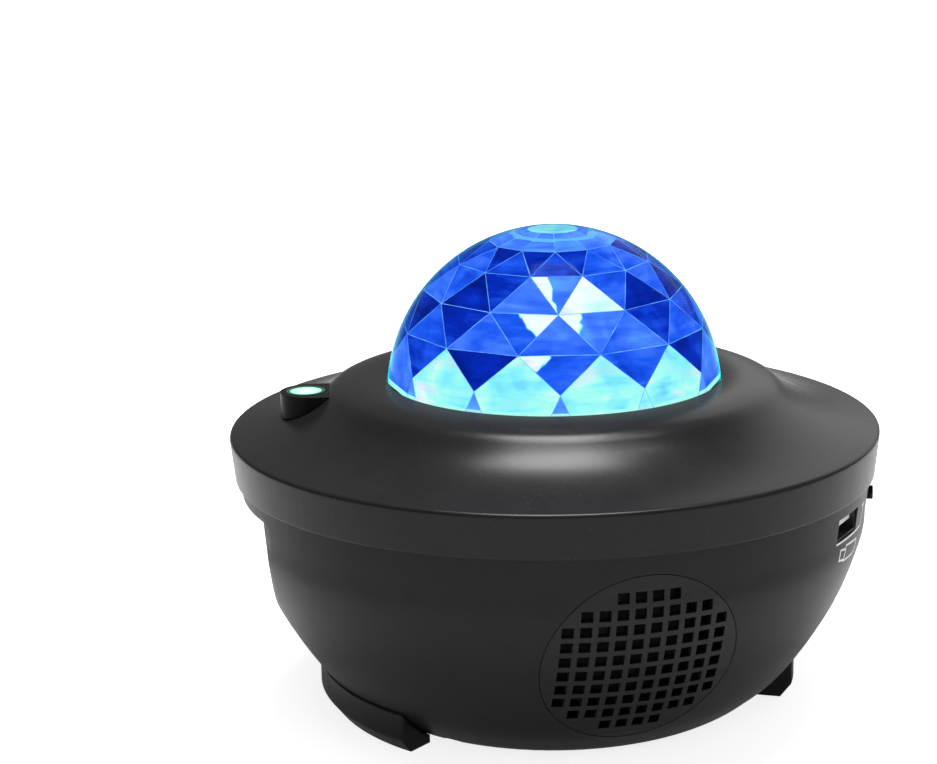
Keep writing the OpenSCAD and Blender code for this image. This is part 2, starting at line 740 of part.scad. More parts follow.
module foot_left() {
    foot(left_foot_az - foot_span, left_foot_az);
}

module foot_right() {
    foot(right_foot_az, right_foot_az + foot_span);
}

module speaker_grille() {
    rows = len(hole_rows);
    color("#26272a") difference() {
        intersection() {
            difference() {
                bowl_body(0, seam_z);
                bowl_body(grille_t, seam_z + reach);
            }
            on_speaker_axis(speaker_y) cylinder(r = grille_r, h = lip_r);
        }
        on_speaker_axis(speaker_y) for (row = [0:rows - 1]) for (i = [0:hole_rows[row] - 1]) translate([
            (i - (hole_rows[row] - 1) / 2) * hole_pitch, ((rows - 1) / 2 - row) * hole_pitch, 0
        ]) translate([-hole_w / 2, -hole_w / 2, 0]) cube([hole_w, hole_w, lip_r]);
    }
}

// ---------- dome ----------

function ring_of(turn, r, z) =
    [for (k = [0:dome_sides - 1]) let (a = dome_turn + turn + k * dome_step) [r * sin(a), -r * cos(a), z]];

module dome_facets() {
    n = dome_sides;
    points = concat(
        [for (j = [0:len(dome_lats) - 1]) each
            ring_of((j % 2) * dome_step / 2, dome_ring_rs[j], dome_ring_zs[j])],
        ring_of(0, dome_cap_r, dome_top_z - dome_wall),
        ring_of(-dome_low_turn, dome_low_r, dome_low_z),
        ring_of(dome_low_turn, dome_low_r, dome_low_z)
    );
    function at(ring, k) = ring * n + (k + n) % n;
    cap = len(dome_lats);
    low = cap + 1;
    high = cap + 2;
    faces = concat(
        [for (k = [0:n - 1]) each [
            [at(0, k), at(low, k), at(high, k)],
            [at(1, k), at(0, k), at(high, k), at(low, k + 1), at(0, k + 1)]
        ]],
        [for (j = [0:cap - 2]) for (k = [0:n - 1]) let (s = j % 2) each [
            [at(j, k + 1 - s), at(j + 1, k + 1), at(j + 1, k)],
            if (j > 0) [at(j, k), at(j, k + 1), at(j + 1, k + s)]
        ]],
        [for (k = [0:n - 1]) [at(cap - 1, k), at(cap - 1, k + 1), at(cap, k + 1), at(cap, k)]],
        [[for (k = [0:n - 1]) at(cap, k)]],
        [[for (k = [n - 1:-1:0]) each [at(high, k), at(low, k)]]]
    );
    polyhedron(points, [for (f = faces) [for (i = [len(f) - 1:-1:0]) f[i]]]);
}

module dome() {
    color("#3f8dff") difference() {
        union() {
            intersection() {
                translate([0, 0, dome_centre_z]) sphere(r = dome_r, $fn = 128);
                translate([0, 0, flange_z])
                    cylinder(r = dome_base_r, h = dome_top_z - flange_z, $fn = 128);
            }
            translate([0, 0, flange_z]) cylinder(r = flange_r, h = dome_flange_t, $fn = 128);
        }
        dome_facets();
        translate([0, 0, flange_z - reach])
            cylinder(r = dome_bore_r, h = seat_z - flange_z + reach, $fn = 96);
    }
}

module dome_ring() {
    ring_step = 1; // from the dome's bore to the ring's
    color("#3a3b3e") difference() {
        union() {
            translate([0, 0, ring_z]) cylinder(r = flange_r, h = dome_ring_h);
            around(ear_azimuths, ear_ring_r, ring_z) cylinder(r = ear_r, h = ring_ear_t, $fn = 32);
            around(ear_azimuths, ear_ring_r, ring_z) translate([-ear_r, 0, 0])
                cube([2 * ear_r, ear_out + reach, ring_ear_t]);
        }
        translate([0, 0, ring_z - reach])
            cylinder(r = dome_bore_r + ring_step, h = dome_ring_h + 2 * reach, $fn = 96);
        around(ear_azimuths, ear_ring_r, ring_z - reach) cylinder(r = pilot_r, h = ring_ear_t + 2 * reach);
    }
}

// ---------- laser pod ----------

bezel_r = window_r + bezel_w;
bezel_rise = 0.1;
window_fit = 0.05;
pod_top_z = rim_z + pod_h;
window_seat_z = pod_top_z - window_t;

module pod_housing() {
    end_r = laser_r + pod_reach - pod_w / 2;
    overlap = 3;
    color("#18181a") difference() {
        union() {
            difference() {
                at_az(facet_az) translate([0, 0, rim_z]) linear_extrude(pod_h) union() {
                    translate([0, -end_r]) circle(r = pod_w / 2);
                    translate([-pod_w / 2, -end_r]) square([pod_w, end_r - collar_r + overlap]);
                }
                cover_body(-seat_gap / 2, seam_z);
            }
            at_laser(cover_z_at(laser_r) - spigot_l) cylinder(r = spigot_r, h = spigot_l + overlap);
        }
        at_laser(seam_z) cylinder(r = beam_bore_r, h = seat_z);
        at_laser(window_seat_z - seat_gap) cylinder(r = bezel_r + seat_gap, h = seat_z);
    }
}

module pod_bezel() {
    color("#0d5a3c") at_laser(window_seat_z) tube(bezel_r, window_r + window_fit, window_t + bezel_rise);
}

module pod_window() {
    color("#b8ffdc") at_laser(window_seat_z) cylinder(r = window_r, h = window_t);
}

// ---------- chassis and light engine ----------

module chassis() {
    lug_l = 10;
    wire_hole = [ripple_distance, 4 * spindle_r];
    wire_hole_r = 3;
    color("#3a3b3e") difference() {
        translate([0, 0, chassis_z]) linear_extrude(chassis_t) union() {
            circle(r = chassis_r);
            for (a = boss_azimuths) rotate(a) {
                translate([0, -boss_ring_r]) circle(r = boss_r, $fn = 32);
                translate([-boss_r, -boss_ring_r]) square([2 * boss_r, lug_l]);
            }
            rotate(facet_az) translate([-arm_w / 2, -laser_r - arm_reach])
                square([arm_w, laser_r - chassis_r / 2]);
        }
        around(boss_azimuths, boss_ring_r, chassis_z - reach)
            cylinder(r = pilot_r, h = chassis_t + 2 * reach);
        at_laser(chassis_z - reach) cylinder(r = barrel_r + screw_gap, h = chassis_t + 2 * reach);
        translate([0, 0, chassis_z - reach]) cylinder(r = spindle_r + screw_gap, h = chassis_t + 2 * reach);
        for (x = [-1, 1]) translate([x * wire_hole[0], wire_hole[1], chassis_z - reach])
            cylinder(r = wire_hole_r, h = chassis_t + 2 * reach);
    }
}

module light_shroud() {
    color("#e9e9e4") translate([0, 0, deck_z]) tube(shroud_r + shroud_wall, shroud_r, shroud_h);
}

module round_plate(z, h) {
    difference() {
        translate([0, 0, z]) cylinder(r = led_board_r, h = h);
        translate([0, 0, z - reach]) cylinder(r = spindle_r + screw_gap, h = h + 2 * reach);
        translate([0, ripple_distance, z - reach])
            cylinder(r = ripple_motor_r + seat_gap, h = h + 2 * reach);
    }
}

module heat_plate() {
    color("#b9bcc0") round_plate(deck_z, heat_plate_t);
}

module led_board() {
    color("#e4e6e0") round_plate(led_board_z, board_t);
}

module at_leds(z) {
    for (i = [0:led_count - 1]) rotate([0, 0, (i + 0.5) * 360 / led_count])
        translate([0, -led_ring_r, z]) children();
}

module led_chips() {
    color("#f3e08a") at_leds(led_z + led_h / 2) cube([led_w, led_w, led_h], center = true);
}

module led_lenses() {
    hollow_w = led_w + 2 * seat_gap;
    hollow_h = led_h + seat_gap;
    cap_r = led_lens_r * 1.2;
    color("#dfe9ee") at_leds(led_z) difference() {
        union() {
            cylinder(r = led_lens_r, h = led_lens_h / 2, $fn = 32);
            translate([0, 0, led_lens_h / 2]) intersection() {
                cylinder(r = led_lens_r, h = led_lens_h, $fn = 32);
                translate([0, 0, led_lens_h / 2 - cap_r]) sphere(r = cap_r, $fn = 32);
            }
        }
        translate([-hollow_w / 2, -hollow_w / 2, -reach]) cube([hollow_w, hollow_w, reach + hollow_h]);
    }
}

module infrared_receiver() {
    size = [5, 3, 6];
    lens_r = 2;
    color("#1d1a20") translate([0, -led_ring_r, led_z]) {
        translate([-size[0] / 2, -size[1] / 2, 0]) cube(size);
        translate([0, -size[1] / 2 + lens_r / 4, size[2] / 2])
            cylinder(r = lens_r, h = size[2] / 2, $fn = 32);
    }
}

module ripple_spindle() {
    shoulder_r = 2 * spindle_r;
    tip_z = ripple_disc_z + ripple_t + pass_gap;
    color("#c3c6ca") {
        translate([0, 0, chassis_z]) cylinder(r = spindle_r, h = tip_z - chassis_z, $fn = 32);
        translate([0, 0, led_z]) cylinder(r = shoulder_r, h = ripple_gear_z - end_gap - led_z, $fn = 32);
    }
}

module ripple_gear() {
    color("#f0f0ea") translate([0, 0, ripple_gear_z]) difference() {
        union() {
            rotate([0, 0, 90]) gear(ripple_m, ripple_teeth, ripple_face);
            cylinder(r = ripple_hub_r, h = ripple_disc_z - ripple_gear_z);
        }
        translate([0, 0, -reach]) cylinder(r = spindle_r + run_gap, h = ripple_disc_z, $fn = 32);
    }
}

module ripple_disc() {
    rib_h = 0.5;
    rib_w = 2;
    rib_margin = 2;
    rib_count = 12;
    color("#cfe4ff") translate([0, 0, ripple_disc_z]) difference() {
        union() {
            cylinder(r = ripple_r, h = ripple_t - rib_h, $fn = 96);
            for (i = [0:rib_count - 1]) rotate([0, 0, i * 360 / rib_count])
                translate([ripple_hub_r + rib_margin, -rib_w / 2, 0])
                cube([ripple_r - ripple_hub_r - 2 * rib_margin, rib_w, ripple_t]);
            cylinder(r = ripple_hub_r, h = ripple_t, $fn = 32);
        }
        translate([0, 0, -reach]) cylinder(r = spindle_r + run_gap, h = ripple_t + 2 * reach, $fn = 32);
    }
}

// A motor can of radius r and height h, open at its top for its shaft
module motor(r, h, bearing_r) {
    bearing_h = 0.4;
    difference() {
        union() {
            cylinder(r = r, h = h - bearing_h);
            cylinder(r = bearing_r, h = h, $fn = 32);
        }
        translate([0, 0, h / 2]) cylinder(r = shaft_r + run_gap, h = h, $fn = 32);
    }
}

shaft_end_gap = 1; // below the end of a shaft in its motor

// A pinion on its shaft; the shaft starts in the motor, drop below the pinion
module pinion(m, teeth, h, drop) {
    rotate([0, 0, -90 + 180 / teeth]) gear(m, teeth, h);
    translate([0, 0, -drop]) cylinder(r = shaft_r, h = drop + h, $fn = 32);
}

module ripple_motor() {
    bearing_r = 2.5;
    color("#b0b3b6") translate([0, ripple_distance, deck_z])
        motor(ripple_motor_r, ripple_motor_h, bearing_r);
}

module ripple_pinion() {
    drop = ripple_gear_z - deck_z - ripple_motor_h / 2 - shaft_end_gap;
    color("#e8e4d4") translate([0, ripple_distance, ripple_gear_z])
        pinion(ripple_m, ripple_pinion_teeth, ripple_face, drop);
}

// ---------- laser engine ----------

module laser_barrel() {
    nose_bore_l = 4;
    color("#b58b3c") at_laser(barrel_z) difference() {
        union() {
            cylinder(r = barrel_r, h = barrel_l);
            cylinder(r = nose_r, h = nose_top_z - barrel_z);
        }
        translate([0, 0, barrel_l - nose_bore_l]) cylinder(r = nose_bore_r, h = barrel_l);
    }
}

module laser_block() {
    slit_w = 1;
    color("#b9bcc0") at_laser(deck_z) difference() {
        translate([-block_w / 2, -block_w / 2, 0]) cube([block_w, block_w, block_h]);
        translate([0, 0, -reach]) cylinder(r = barrel_r + screw_gap, h = block_h + 2 * reach);
        translate([-slit_w / 2, -block_w, -reach]) cube([slit_w, block_w, block_h + 2 * reach]);
    }
}

module star_gear() {
    color("#f0f0ea") at_laser(star_gear_z) rotate([0, 0, star_turn]) difference() {
        union() {
            rotate([0, 0, 90]) gear(star_m, star_teeth, star_face);
            cylinder(r = star_r, h = star_disc_z - star_gear_z);
        }
        translate([0, 0, -reach]) cylinder(r = nose_r + run_gap, h = seat_z, $fn = 64);
    }
}

module star_grating() {
    color("#cfe4ff") at_laser(star_disc_z) cylinder(r = star_r, h = star_t);
}

module star_motor() {
    bearing_r = 1.6;
    color("#b0b3b6") at_laser(deck_z) rotate([0, 0, star_turn]) translate([0, star_distance, 0])
        motor(star_motor_r, star_motor_h, bearing_r);
}

module star_pinion() {
    drop = star_gear_z - deck_z - star_motor_h / 2 - shaft_end_gap;
    color("#e8e4d4") at_laser(star_gear_z) rotate([0, 0, star_turn]) translate([0, star_distance, 0])
        pinion(star_m, star_pinion_teeth, star_face, drop);
}

// ---------- loudspeaker ----------

// Pieces of the loudspeaker are revolved about its axis: x is the radius, y the distance
// from the seat towards the back
module turned_back(y) {
    translate([0, -y, speaker_z]) rotate([-90, 0, 0]) children();
}

cone_seat_r = grille_ledge_r - 1.6; // the basket's opening
coil_bore_r = 5.4;

module speaker_gasket() {
    inset = 0.4;
    color("#1c1c1c") turned_back(speaker_y) tube(speaker_r, grille_ledge_r + inset, gasket_t);
}

module speaker_basket() {
    throat_r = magnet_r - 3;
    wall = 1.2;
    vent_w = 8;
    vent_y = [1.6, basket_h - 2.6];
    floor_y = gasket_t + frame_t + basket_h - wall;
    color("#8d9093") difference() {
        union() {
            turned_back(speaker_y - gasket_t) cylinder(r = speaker_r, h = frame_t);
            at_speaker_screws(frame_y) cylinder(r = post_r, h = frame_t, $fn = 32);
            turned_back(frame_y) rotate_extrude() polygon([
                [throat_r, 0], [cone_seat_r + 1, 0], [magnet_r, basket_h], [throat_r, basket_h]
            ]);
        }
        turned_back(speaker_y) rotate_extrude() polygon([
            [0, -reach], [cone_seat_r, -reach], [cone_seat_r, gasket_t + frame_t],
            [magnet_r - wall - 0.4, floor_y], [0, floor_y]
        ]);
        turned_back(speaker_y) cylinder(r = coil_bore_r, h = 2 * basket_h, $fn = 32);
        for (a = [0:90:270]) turned_back(frame_y) rotate([0, 0, a]) translate([-vent_w / 2, 0, vent_y[0]])
            cube([vent_w, speaker_r, vent_y[1] - vent_y[0]]);
        at_speaker_screws(frame_y - reach) cylinder(r = pilot_r, h = frame_t + 2 * reach, $fn = 32);
    }
}

module speaker_magnet() {
    color("#3d3d40") turned_back(magnet_y) tube(magnet_r, coil_bore_r, magnet_l);
}

module speaker_surround() {
    in_r = cone_r + cone_gap;
    out_r = cone_seat_r - 0.1;
    front = 0.2;
    back = 0.8;
    crown = 0.6;
    color("#222224") turned_back(speaker_y - gasket_t) rotate_extrude() polygon([
        [in_r, front], [in_r + 0.5, 0.1 - crown], [in_r + 1.2, -crown],
        [out_r, front], [out_r, back], [in_r, back]
    ]);
}

// Paper cone with its dust cap and the voice coil that slides in the magnet
module speaker_cone() {
    cap_r = 6;
    cap_y = 2.4; // how far the dust cap lies behind the seat
    coil_r = coil_bore_r - 0.4;
    coil_end = basket_h + 4;
    depth = basket_h - 3.4;
    front = 0.2;
    wall = 0.7;
    color("#4a4743") turned_back(speaker_y - gasket_t) rotate_extrude() polygon([
        [0, cap_y], [cap_r * 0.6, cap_y + 0.5], [cap_r, depth - 1.2],
        [cone_r, front], [cone_r, front + wall],
        [coil_r, depth + wall], [coil_r, coil_end], [coil_r - wall, coil_end], [coil_r - wall, depth],
        [0, depth - 1]
    ]);
}

// ---------- boards and controls ----------

module main_board() {
    color("#1f5a3a") difference() {
        translate([-main_board_x / 2, main_board_front, main_board_z])
            cube([main_board_x, main_board_y, board_t]);
        at_main_screws(main_board_z - reach) cylinder(r = pilot_r, h = board_t + 2 * reach);
    }
}

main_top_z = main_board_z + board_t;

// Corner and size of each chip and connector, from the middle of the board
module main_chips() {
    chips = [
        [[-5, -5], [10, 10, 1.6]], [[8, -4], [6, 8, 1.8]], [[-16, 4], [6, 5, 1.5]],
        [[-3, 9], [8, 5, 5]], [[-17, -8], [5, 8, 6]]
    ];
    color("#1b1b1d") translate([0, (main_board_front + main_board_back) / 2, main_top_z])
        for (c = chips) translate(c[0]) cube(c[1]);
}

module capacitors() {
    can_r = 3.2;
    can_h = 11;
    color("#23324f") for (x = [-9, 1, 11]) translate([x, main_board_front + can_r + 1.8, main_top_z])
        cylinder(r = can_r, h = can_h, $fn = 32);
}

module socket_board() {
    color("#1f5a3a") difference() {
        rotate([0, 0, io_start_az - 90]) rotate_extrude(angle = io_end_az - io_start_az, $fn = 96)
            translate([io_outer_r - io_board_w, io_z]) square([io_board_w, board_t]);
        around(io_screw_azimuths, io_screw_ring_r, io_z - reach)
            cylinder(r = pilot_r, h = board_t + 2 * reach);
    }
}

module at_usb() {
    at_az(usb_az) translate([0, -socket_face_r, port_z]) children();
}

module usb_shell() {
    color("#c9cbce") at_usb() difference() {
        translate([-usb_outer_w / 2, 0, -usb_outer_h / 2]) cube([usb_outer_w, usb_l, usb_outer_h]);
        translate([-usb_w / 2, -reach, -usb_h / 2]) cube([usb_w, usb_l - usb_wall + reach, usb_h]);
    }
}

module usb_tongue() {
    side = 0.7;
    drop = 0.6;
    depth = 1.9;
    front = 1;
    root = 4;
    fit = 0.02;
    back = usb_l - usb_wall - fit;
    color("#8f9296") at_usb() {
        translate([side - usb_w / 2, front, usb_h / 2 - depth - drop])
            cube([usb_w - 2 * side, back - front, depth]);
        translate([fit - usb_w / 2, back - root, fit - usb_h / 2])
            cube([usb_w - 2 * fit, root, usb_h - 2 * fit]);
    }
}

// Azimuth frame of side button i, at the bowl's outer surface on the port line
module at_button(i) {
    at_az(button_az + i * button_step) translate([0, -bowl_r_at(port_z), port_z]) children();
}

module side_button(i) {
    outer = bowl_r_at(port_z);
    color("#141416") at_button(i) {
        translate([0, outer - button_in_r, 0]) lay()
            cylinder(r = button_r, h = outer - button_in_r + button_out, $fn = 32);
        translate([0, outer - button_flange_out_r + button_flange_t, 0]) lay()
            cylinder(r = button_flange_r, h = button_flange_t, $fn = 32);
    }
}

module button_1() {
    side_button(0);
}

module button_2() {
    side_button(1);
}

module button_3() {
    side_button(2);
}

module button_4() {
    side_button(3);
}

module push_switches() {
    plunger_r = 1;
    body_h = port_z + plunger_r + 0.6 - io_top_z;
    color("#2a2a2c") for (i = [0:button_count - 1]) at_az(button_az + i * button_step) {
        translate([-switch_w / 2, plunger_l - plunger_tip_r, io_top_z]) cube([switch_w, switch_d, body_h]);
        translate([0, plunger_l + plunger_root - plunger_tip_r, port_z]) lay()
            cylinder(r = plunger_r, h = plunger_l + plunger_root, $fn = 32);
    }
}

module microphone() {
    can_r = 2.2;
    can_h = 2.4;
    port_r = 1;
    port_depth = 0.6;
    inset = 6;
    color("#a9abae") at_az((usb_az + button_az) / 2 + 1) translate([0, inset - io_outer_r, io_top_z])
        difference() {
        cylinder(r = can_r, h = can_h, $fn = 32);
        translate([0, 0, can_h - port_depth]) cylinder(r = port_r, h = reach, $fn = 32);
    }
}

jack_wall = 0.9;
jack_nose_r = jack_bore_r + jack_wall;
jack_pin_root = 12;
facet_wall = bowl_wall * (cos(facet_lean) + sin(facet_lean)); // behind the flat
pin_fit = 0.02;

module power_inlet() {
    sink = 0.3; // from the flat to the inlet's face
    back_gap = 0.1;
    bore_l = 9;
    color("#161618") at_jack() difference() {
        union() {
            translate([-jack_w / 2, facet_wall + back_gap, -jack_w / 2]) cube([jack_w, jack_l, jack_w]);
            translate([0, facet_wall + reach, 0]) lay()
                cylinder(r = jack_nose_r, h = facet_wall - sink + reach);
        }
        translate([0, bore_l, 0]) lay() cylinder(r = jack_bore_r, h = 2 * bore_l);
        translate([0, jack_pin_root, 0]) lay() cylinder(r = jack_pin_r + pin_fit, h = 2 * bore_l, $fn = 32);
    }
}

module power_pin() {
    tip = 1.6; // how far the pin ends behind the flat
    color("#d7c27a") at_jack() translate([0, jack_pin_root, 0]) lay()
        cylinder(r = jack_pin_r, h = jack_pin_root - tip, $fn = 32);
}

// ---------- fasteners ----------

module case_screws() {
    color("#8c8f93") around(boss_azimuths, boss_ring_r, case_seat_z)
        screw(head_seat_t + chassis_t + screw_bite);
}

module base_screws() {
    color("#8c8f93") around(base_screw_azimuths, base_screw_ring_r, base_seat_z) screw(screw_bite - tip_room);
}

module foot_screws() {
    color("#8c8f93") around(foot_screw_azimuths, foot_screw_ring_r, foot_seat_z)
        screw(foot_h - foot_seat_z + screw_bite - tip_room);
}

module ring_screws() {
    color("#8c8f93") around(ear_azimuths, ear_ring_r, ring_z) screw(ring_ear_t + ring_screw_bite);
}

module speaker_screws() {
    color("#8c8f93") at_speaker_screws(frame_y) screw(frame_t + gasket_t + screw_bite - 2 * tip_room);
}

module board_screws() {
    color("#8c8f93") {
        at_main_screws(main_top_z) rotate([180, 0, 0]) screw(board_t + standoff_h - tip_room);
        around(io_screw_azimuths, io_screw_ring_r, io_top_z) rotate([180, 0, 0])
            screw(board_t + screw_bite - tip_room);
    }
}

top_cover();
lower_bowl();
base_plate();
foot_left();
foot_right();
speaker_grille();
dome();
dome_ring();
pod_housing();
pod_bezel();
pod_window();
chassis();
light_shroud();
heat_plate();
led_board();
led_chips();
led_lenses();
infrared_receiver();
ripple_spindle();
ripple_gear();
ripple_disc();
ripple_motor();
ripple_pinion();
laser_barrel();
laser_block();
star_gear();
star_grating();
star_motor();
star_pinion();
speaker_gasket();
speaker_basket();
speaker_surround();
speaker_cone();
speaker_magnet();
main_board();
main_chips();
capacitors();
socket_board();
usb_shell();
usb_tongue();
push_switches();
microphone();
button_1();
button_2();
button_3();
button_4();
power_inlet();
power_pin();
case_screws();
base_screws();
foot_screws();
ring_screws();
speaker_screws();
board_screws();
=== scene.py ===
"""Night light projector: finishes, the lit faceted dome, printed pictograms, lights, floor and camera."""
import math
import random

import bmesh
import bpy
from mathutils import Matrix, Vector
from mathutils.bvhtree import BVHTree


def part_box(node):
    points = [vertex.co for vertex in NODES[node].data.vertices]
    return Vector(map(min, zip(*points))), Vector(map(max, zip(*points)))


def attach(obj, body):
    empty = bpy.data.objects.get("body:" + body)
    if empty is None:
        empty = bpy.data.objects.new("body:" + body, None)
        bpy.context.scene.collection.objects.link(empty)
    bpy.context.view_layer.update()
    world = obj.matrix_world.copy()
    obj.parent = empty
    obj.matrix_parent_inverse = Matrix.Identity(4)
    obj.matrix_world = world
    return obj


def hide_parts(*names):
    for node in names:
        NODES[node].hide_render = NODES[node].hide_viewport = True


MM = 0.001

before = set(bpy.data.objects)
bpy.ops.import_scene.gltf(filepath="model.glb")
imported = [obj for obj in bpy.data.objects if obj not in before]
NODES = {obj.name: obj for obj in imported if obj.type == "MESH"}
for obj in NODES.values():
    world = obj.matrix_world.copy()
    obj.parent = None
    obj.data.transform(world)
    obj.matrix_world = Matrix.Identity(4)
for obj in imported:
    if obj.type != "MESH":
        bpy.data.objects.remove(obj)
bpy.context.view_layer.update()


# ---------- small helpers ----------


def around(azimuth, radius, z):
    """A point in metres; azimuth runs in degrees from -Y towards +X, radius and z are in mm."""
    a = math.radians(azimuth)
    return Vector((radius * math.sin(a), -radius * math.cos(a), z)) * MM


def add_object(name, bm, *materials):
    """A new object from a bmesh, with its material slots in the order given."""
    mesh = bpy.data.meshes.new(name)
    bm.to_mesh(mesh)
    bm.free()
    obj = bpy.data.objects.new(name, mesh)
    bpy.context.scene.collection.objects.link(obj)
    for m in materials:
        mesh.materials.append(m)
    return obj


class Graph:
    """A material's nodes, added one at a time. What is put into a node is a number, a colour or another's socket."""

    def __init__(self, name):
        self.material = bpy.data.materials.new(name)
        self.material.use_nodes = True
        self.nodes = self.material.node_tree.nodes
        self.links = self.material.node_tree.links
        self.shader = self.nodes["Principled BSDF"]

    def add(self, kind, values=(), **settings):
        node = self.nodes.new(kind)
        for key, value in settings.items():
            setattr(node, key, value)
        for key, value in dict(values).items():
            self.put(node.inputs[key], value)
        return node

    def put(self, socket, value):
        if isinstance(value, bpy.types.NodeSocket):
            self.links.new(value, socket)
        else:
            socket.default_value = value

    def math(self, operation, *values, clamp=False):
        node = self.add("ShaderNodeMath", operation=operation, use_clamp=clamp)
        for i, v in enumerate(values):
            self.put(node.inputs[i], v)
        return node.outputs[0]

    def vector(self, operation, *values):
        node = self.add("ShaderNodeVectorMath", operation=operation)
        for i, v in enumerate(values):
            self.put(node.inputs[i], v)
        return node.outputs["Value" if operation == "LENGTH" else "Vector"]

    def noise(self, at, scale, detail=3.0, rough=0.55, stretch=(1, 1, 1), distortion=0.0):
        """3D noise over metres; stretch shortens its features along each axis."""
        mapping = self.add("ShaderNodeMapping", {"Vector": at, "Scale": stretch})
        node = self.add("ShaderNodeTexNoise", {
            "Vector": mapping.outputs[0], "Scale": scale, "Detail": detail, "Roughness": rough,
            "Distortion": distortion})
        return node.outputs["Fac"]

    def ramp(self, factor, stops):
        """A colour from the factor, by stops of (place, colour)."""
        node = self.add("ShaderNodeValToRGB", {"Fac": factor})
        ramp = node.color_ramp
        while len(ramp.elements) < len(stops):
            ramp.elements.new(0.5)
        for element, (place, colour) in zip(ramp.elements, stops):
            element.position = place
            element.color = (*colour, 1)
        return node.outputs["Color"]

    def remap(self, value, a, b, c, d):
        """The value with the range a to b stretched to the range c to d, and clamped to it."""
        node = self.add("ShaderNodeMapRange", {0: value, 1: a, 2: b, 3: c, 4: d})
        return node.outputs[0]

    def swing(self, noise, amount):
        """The noise as a value about 0, times amount."""
        return self.math("MULTIPLY", self.math("SUBTRACT", noise, 0.5), amount)

    def mix(self, factor, a, b):
        """Blends two colours; the second is a plain one."""
        node = self.add("ShaderNodeMix", data_type="RGBA")
        for i, v in ((0, factor), (6, a), (7, (*b, 1))):
            self.put(node.inputs[i], v)
        return node.outputs[2]

    def bump(self, height, distance, normal=None):
        values = {"Height": height, "Distance": distance}
        if normal is not None:
            values["Normal"] = normal
        return self.add("ShaderNodeBump", values).outputs[0]

    def place(self):
        """Where a point lies on the object, in metres."""
        return self.add("ShaderNodeTexCoord").outputs["Object"]

    def attribute(self, name, output="Fac"):
        return self.add("ShaderNodeAttribute", attribute_name=name).outputs[output]

    def settle(self, **sockets):
        """Sets the shader's own sockets to values that are the same all over the surface."""
        for key, value in sockets.items():
            self.shader.inputs[key.replace("_", " ")].default_value = value


# The stretch of the drifting noise over which a finish goes from one colour to the other
DRIFT_FROM, DRIFT_TO = 0.3, 0.7
BEVEL_SAMPLES = 8


def finish(name, colour, second, *, rough=0.4, rough_vary=0.06, blotch=90, grain=4000, grain_depth=8e-6,
           soften=0.0, stretch=(1, 1, 1), **sockets):
    """A finish with tone that drifts between two colours, a fine grain and a little variation in gloss.

    blotch and grain are the scales of the drift and the grain, in features per metre. grain_depth and soften, the
    radius to which edges look rounded, are in metres."""
    g = Graph(name)
    at = g.place()
    drift = g.noise(at, blotch, 4.0, stretch=stretch)
    fine = g.noise(at, grain, 2.0, 0.6, stretch=stretch)
    g.put(g.shader.inputs["Base Color"], g.ramp(drift, [(DRIFT_FROM, colour), (DRIFT_TO, second)]))
    uneven = g.remap(drift, DRIFT_FROM, DRIFT_TO, rough - rough_vary, rough + rough_vary)
    g.put(g.shader.inputs["Roughness"], uneven)
    rounded = g.add("ShaderNodeBevel", {"Radius": soften}, samples=BEVEL_SAMPLES).outputs[0] if soften else None
    if grain_depth:
        g.put(g.shader.inputs["Normal"], g.bump(fine, grain_depth, normal=rounded))
    g.settle(**sockets)
    return g.material


# ---------- finishes ----------

case_black = finish("case_black", (0.0125, 0.0125, 0.0135), (0.0145, 0.0145, 0.0155), rough=0.27, rough_vary=0.015,
                    grain=2600, grain_depth=1.5e-6, soften=6e-4, Specular_IOR_Level=0.2)
bowl_black = finish("bowl_black", (0.019, 0.019, 0.02), (0.0215, 0.0215, 0.0225), rough=0.34, rough_vary=0.015,
                    grain=2600, grain_depth=1.5e-6, soften=6e-4, Specular_IOR_Level=0.1)
foot_black = finish("foot_black", (0.013, 0.013, 0.014), (0.016, 0.016, 0.017), rough=0.42,
                    grain=2600, grain_depth=4e-6, soften=1.4e-3, Specular_IOR_Level=0.2)
grille_black = finish("grille_black", (0.012, 0.012, 0.0125), (0.016, 0.016, 0.017), rough=0.46, grain=2600,
                      grain_depth=5e-6, soften=2e-4, Specular_IOR_Level=0.2)
gloss_black = finish("gloss_black", (0.0035, 0.0035, 0.004), (0.005, 0.005, 0.0055), rough=0.3, rough_vary=0.03,
                     grain_depth=2e-6, soften=3e-4, Specular_IOR_Level=0.1)
inner_grey = finish("inner_grey", (0.035, 0.035, 0.037), (0.045, 0.045, 0.048), rough=0.5)
inner_white = finish("inner_white", (0.78, 0.78, 0.75), (0.84, 0.84, 0.81), rough=0.45)
gear_white = finish("gear_white", (0.74, 0.74, 0.69), (0.8, 0.8, 0.76), rough=0.38, Subsurface_Weight=0.05)
aluminium = finish("aluminium", (0.6, 0.61, 0.63), (0.68, 0.69, 0.71), rough=0.34, grain=900, grain_depth=6e-6,
                   stretch=(1, 12, 1), Metallic=1.0)
steel = finish("steel", (0.5, 0.5, 0.52), (0.6, 0.6, 0.62), rough=0.3, grain=1200, grain_depth=4e-6,
               stretch=(1, 1, 10), Metallic=1.0)
# Painted shade: the USB socket's shell gets a far darker steel than bare metal, so that the socket looks black
# inside, as in its shade
shade_darkened_steel = finish("shade_darkened_steel", (0.1, 0.1, 0.105), (0.16, 0.16, 0.165), rough=0.42, grain=1200,
                     grain_depth=4e-6, Metallic=1.0)
zinc = finish("zinc_plate", (0.45, 0.46, 0.47), (0.58, 0.58, 0.58), rough=0.36, blotch=400, Metallic=1.0)
brass = finish("brass", (0.55, 0.38, 0.15), (0.66, 0.47, 0.2), rough=0.28, grain=1500, stretch=(1, 1, 14),
               Metallic=1.0)
board_green = finish("board_green", (0.008, 0.07, 0.03), (0.014, 0.1, 0.045), rough=0.3, blotch=700)
board_white = finish("board_white", (0.74, 0.76, 0.73), (0.8, 0.82, 0.79), rough=0.32, blotch=500)
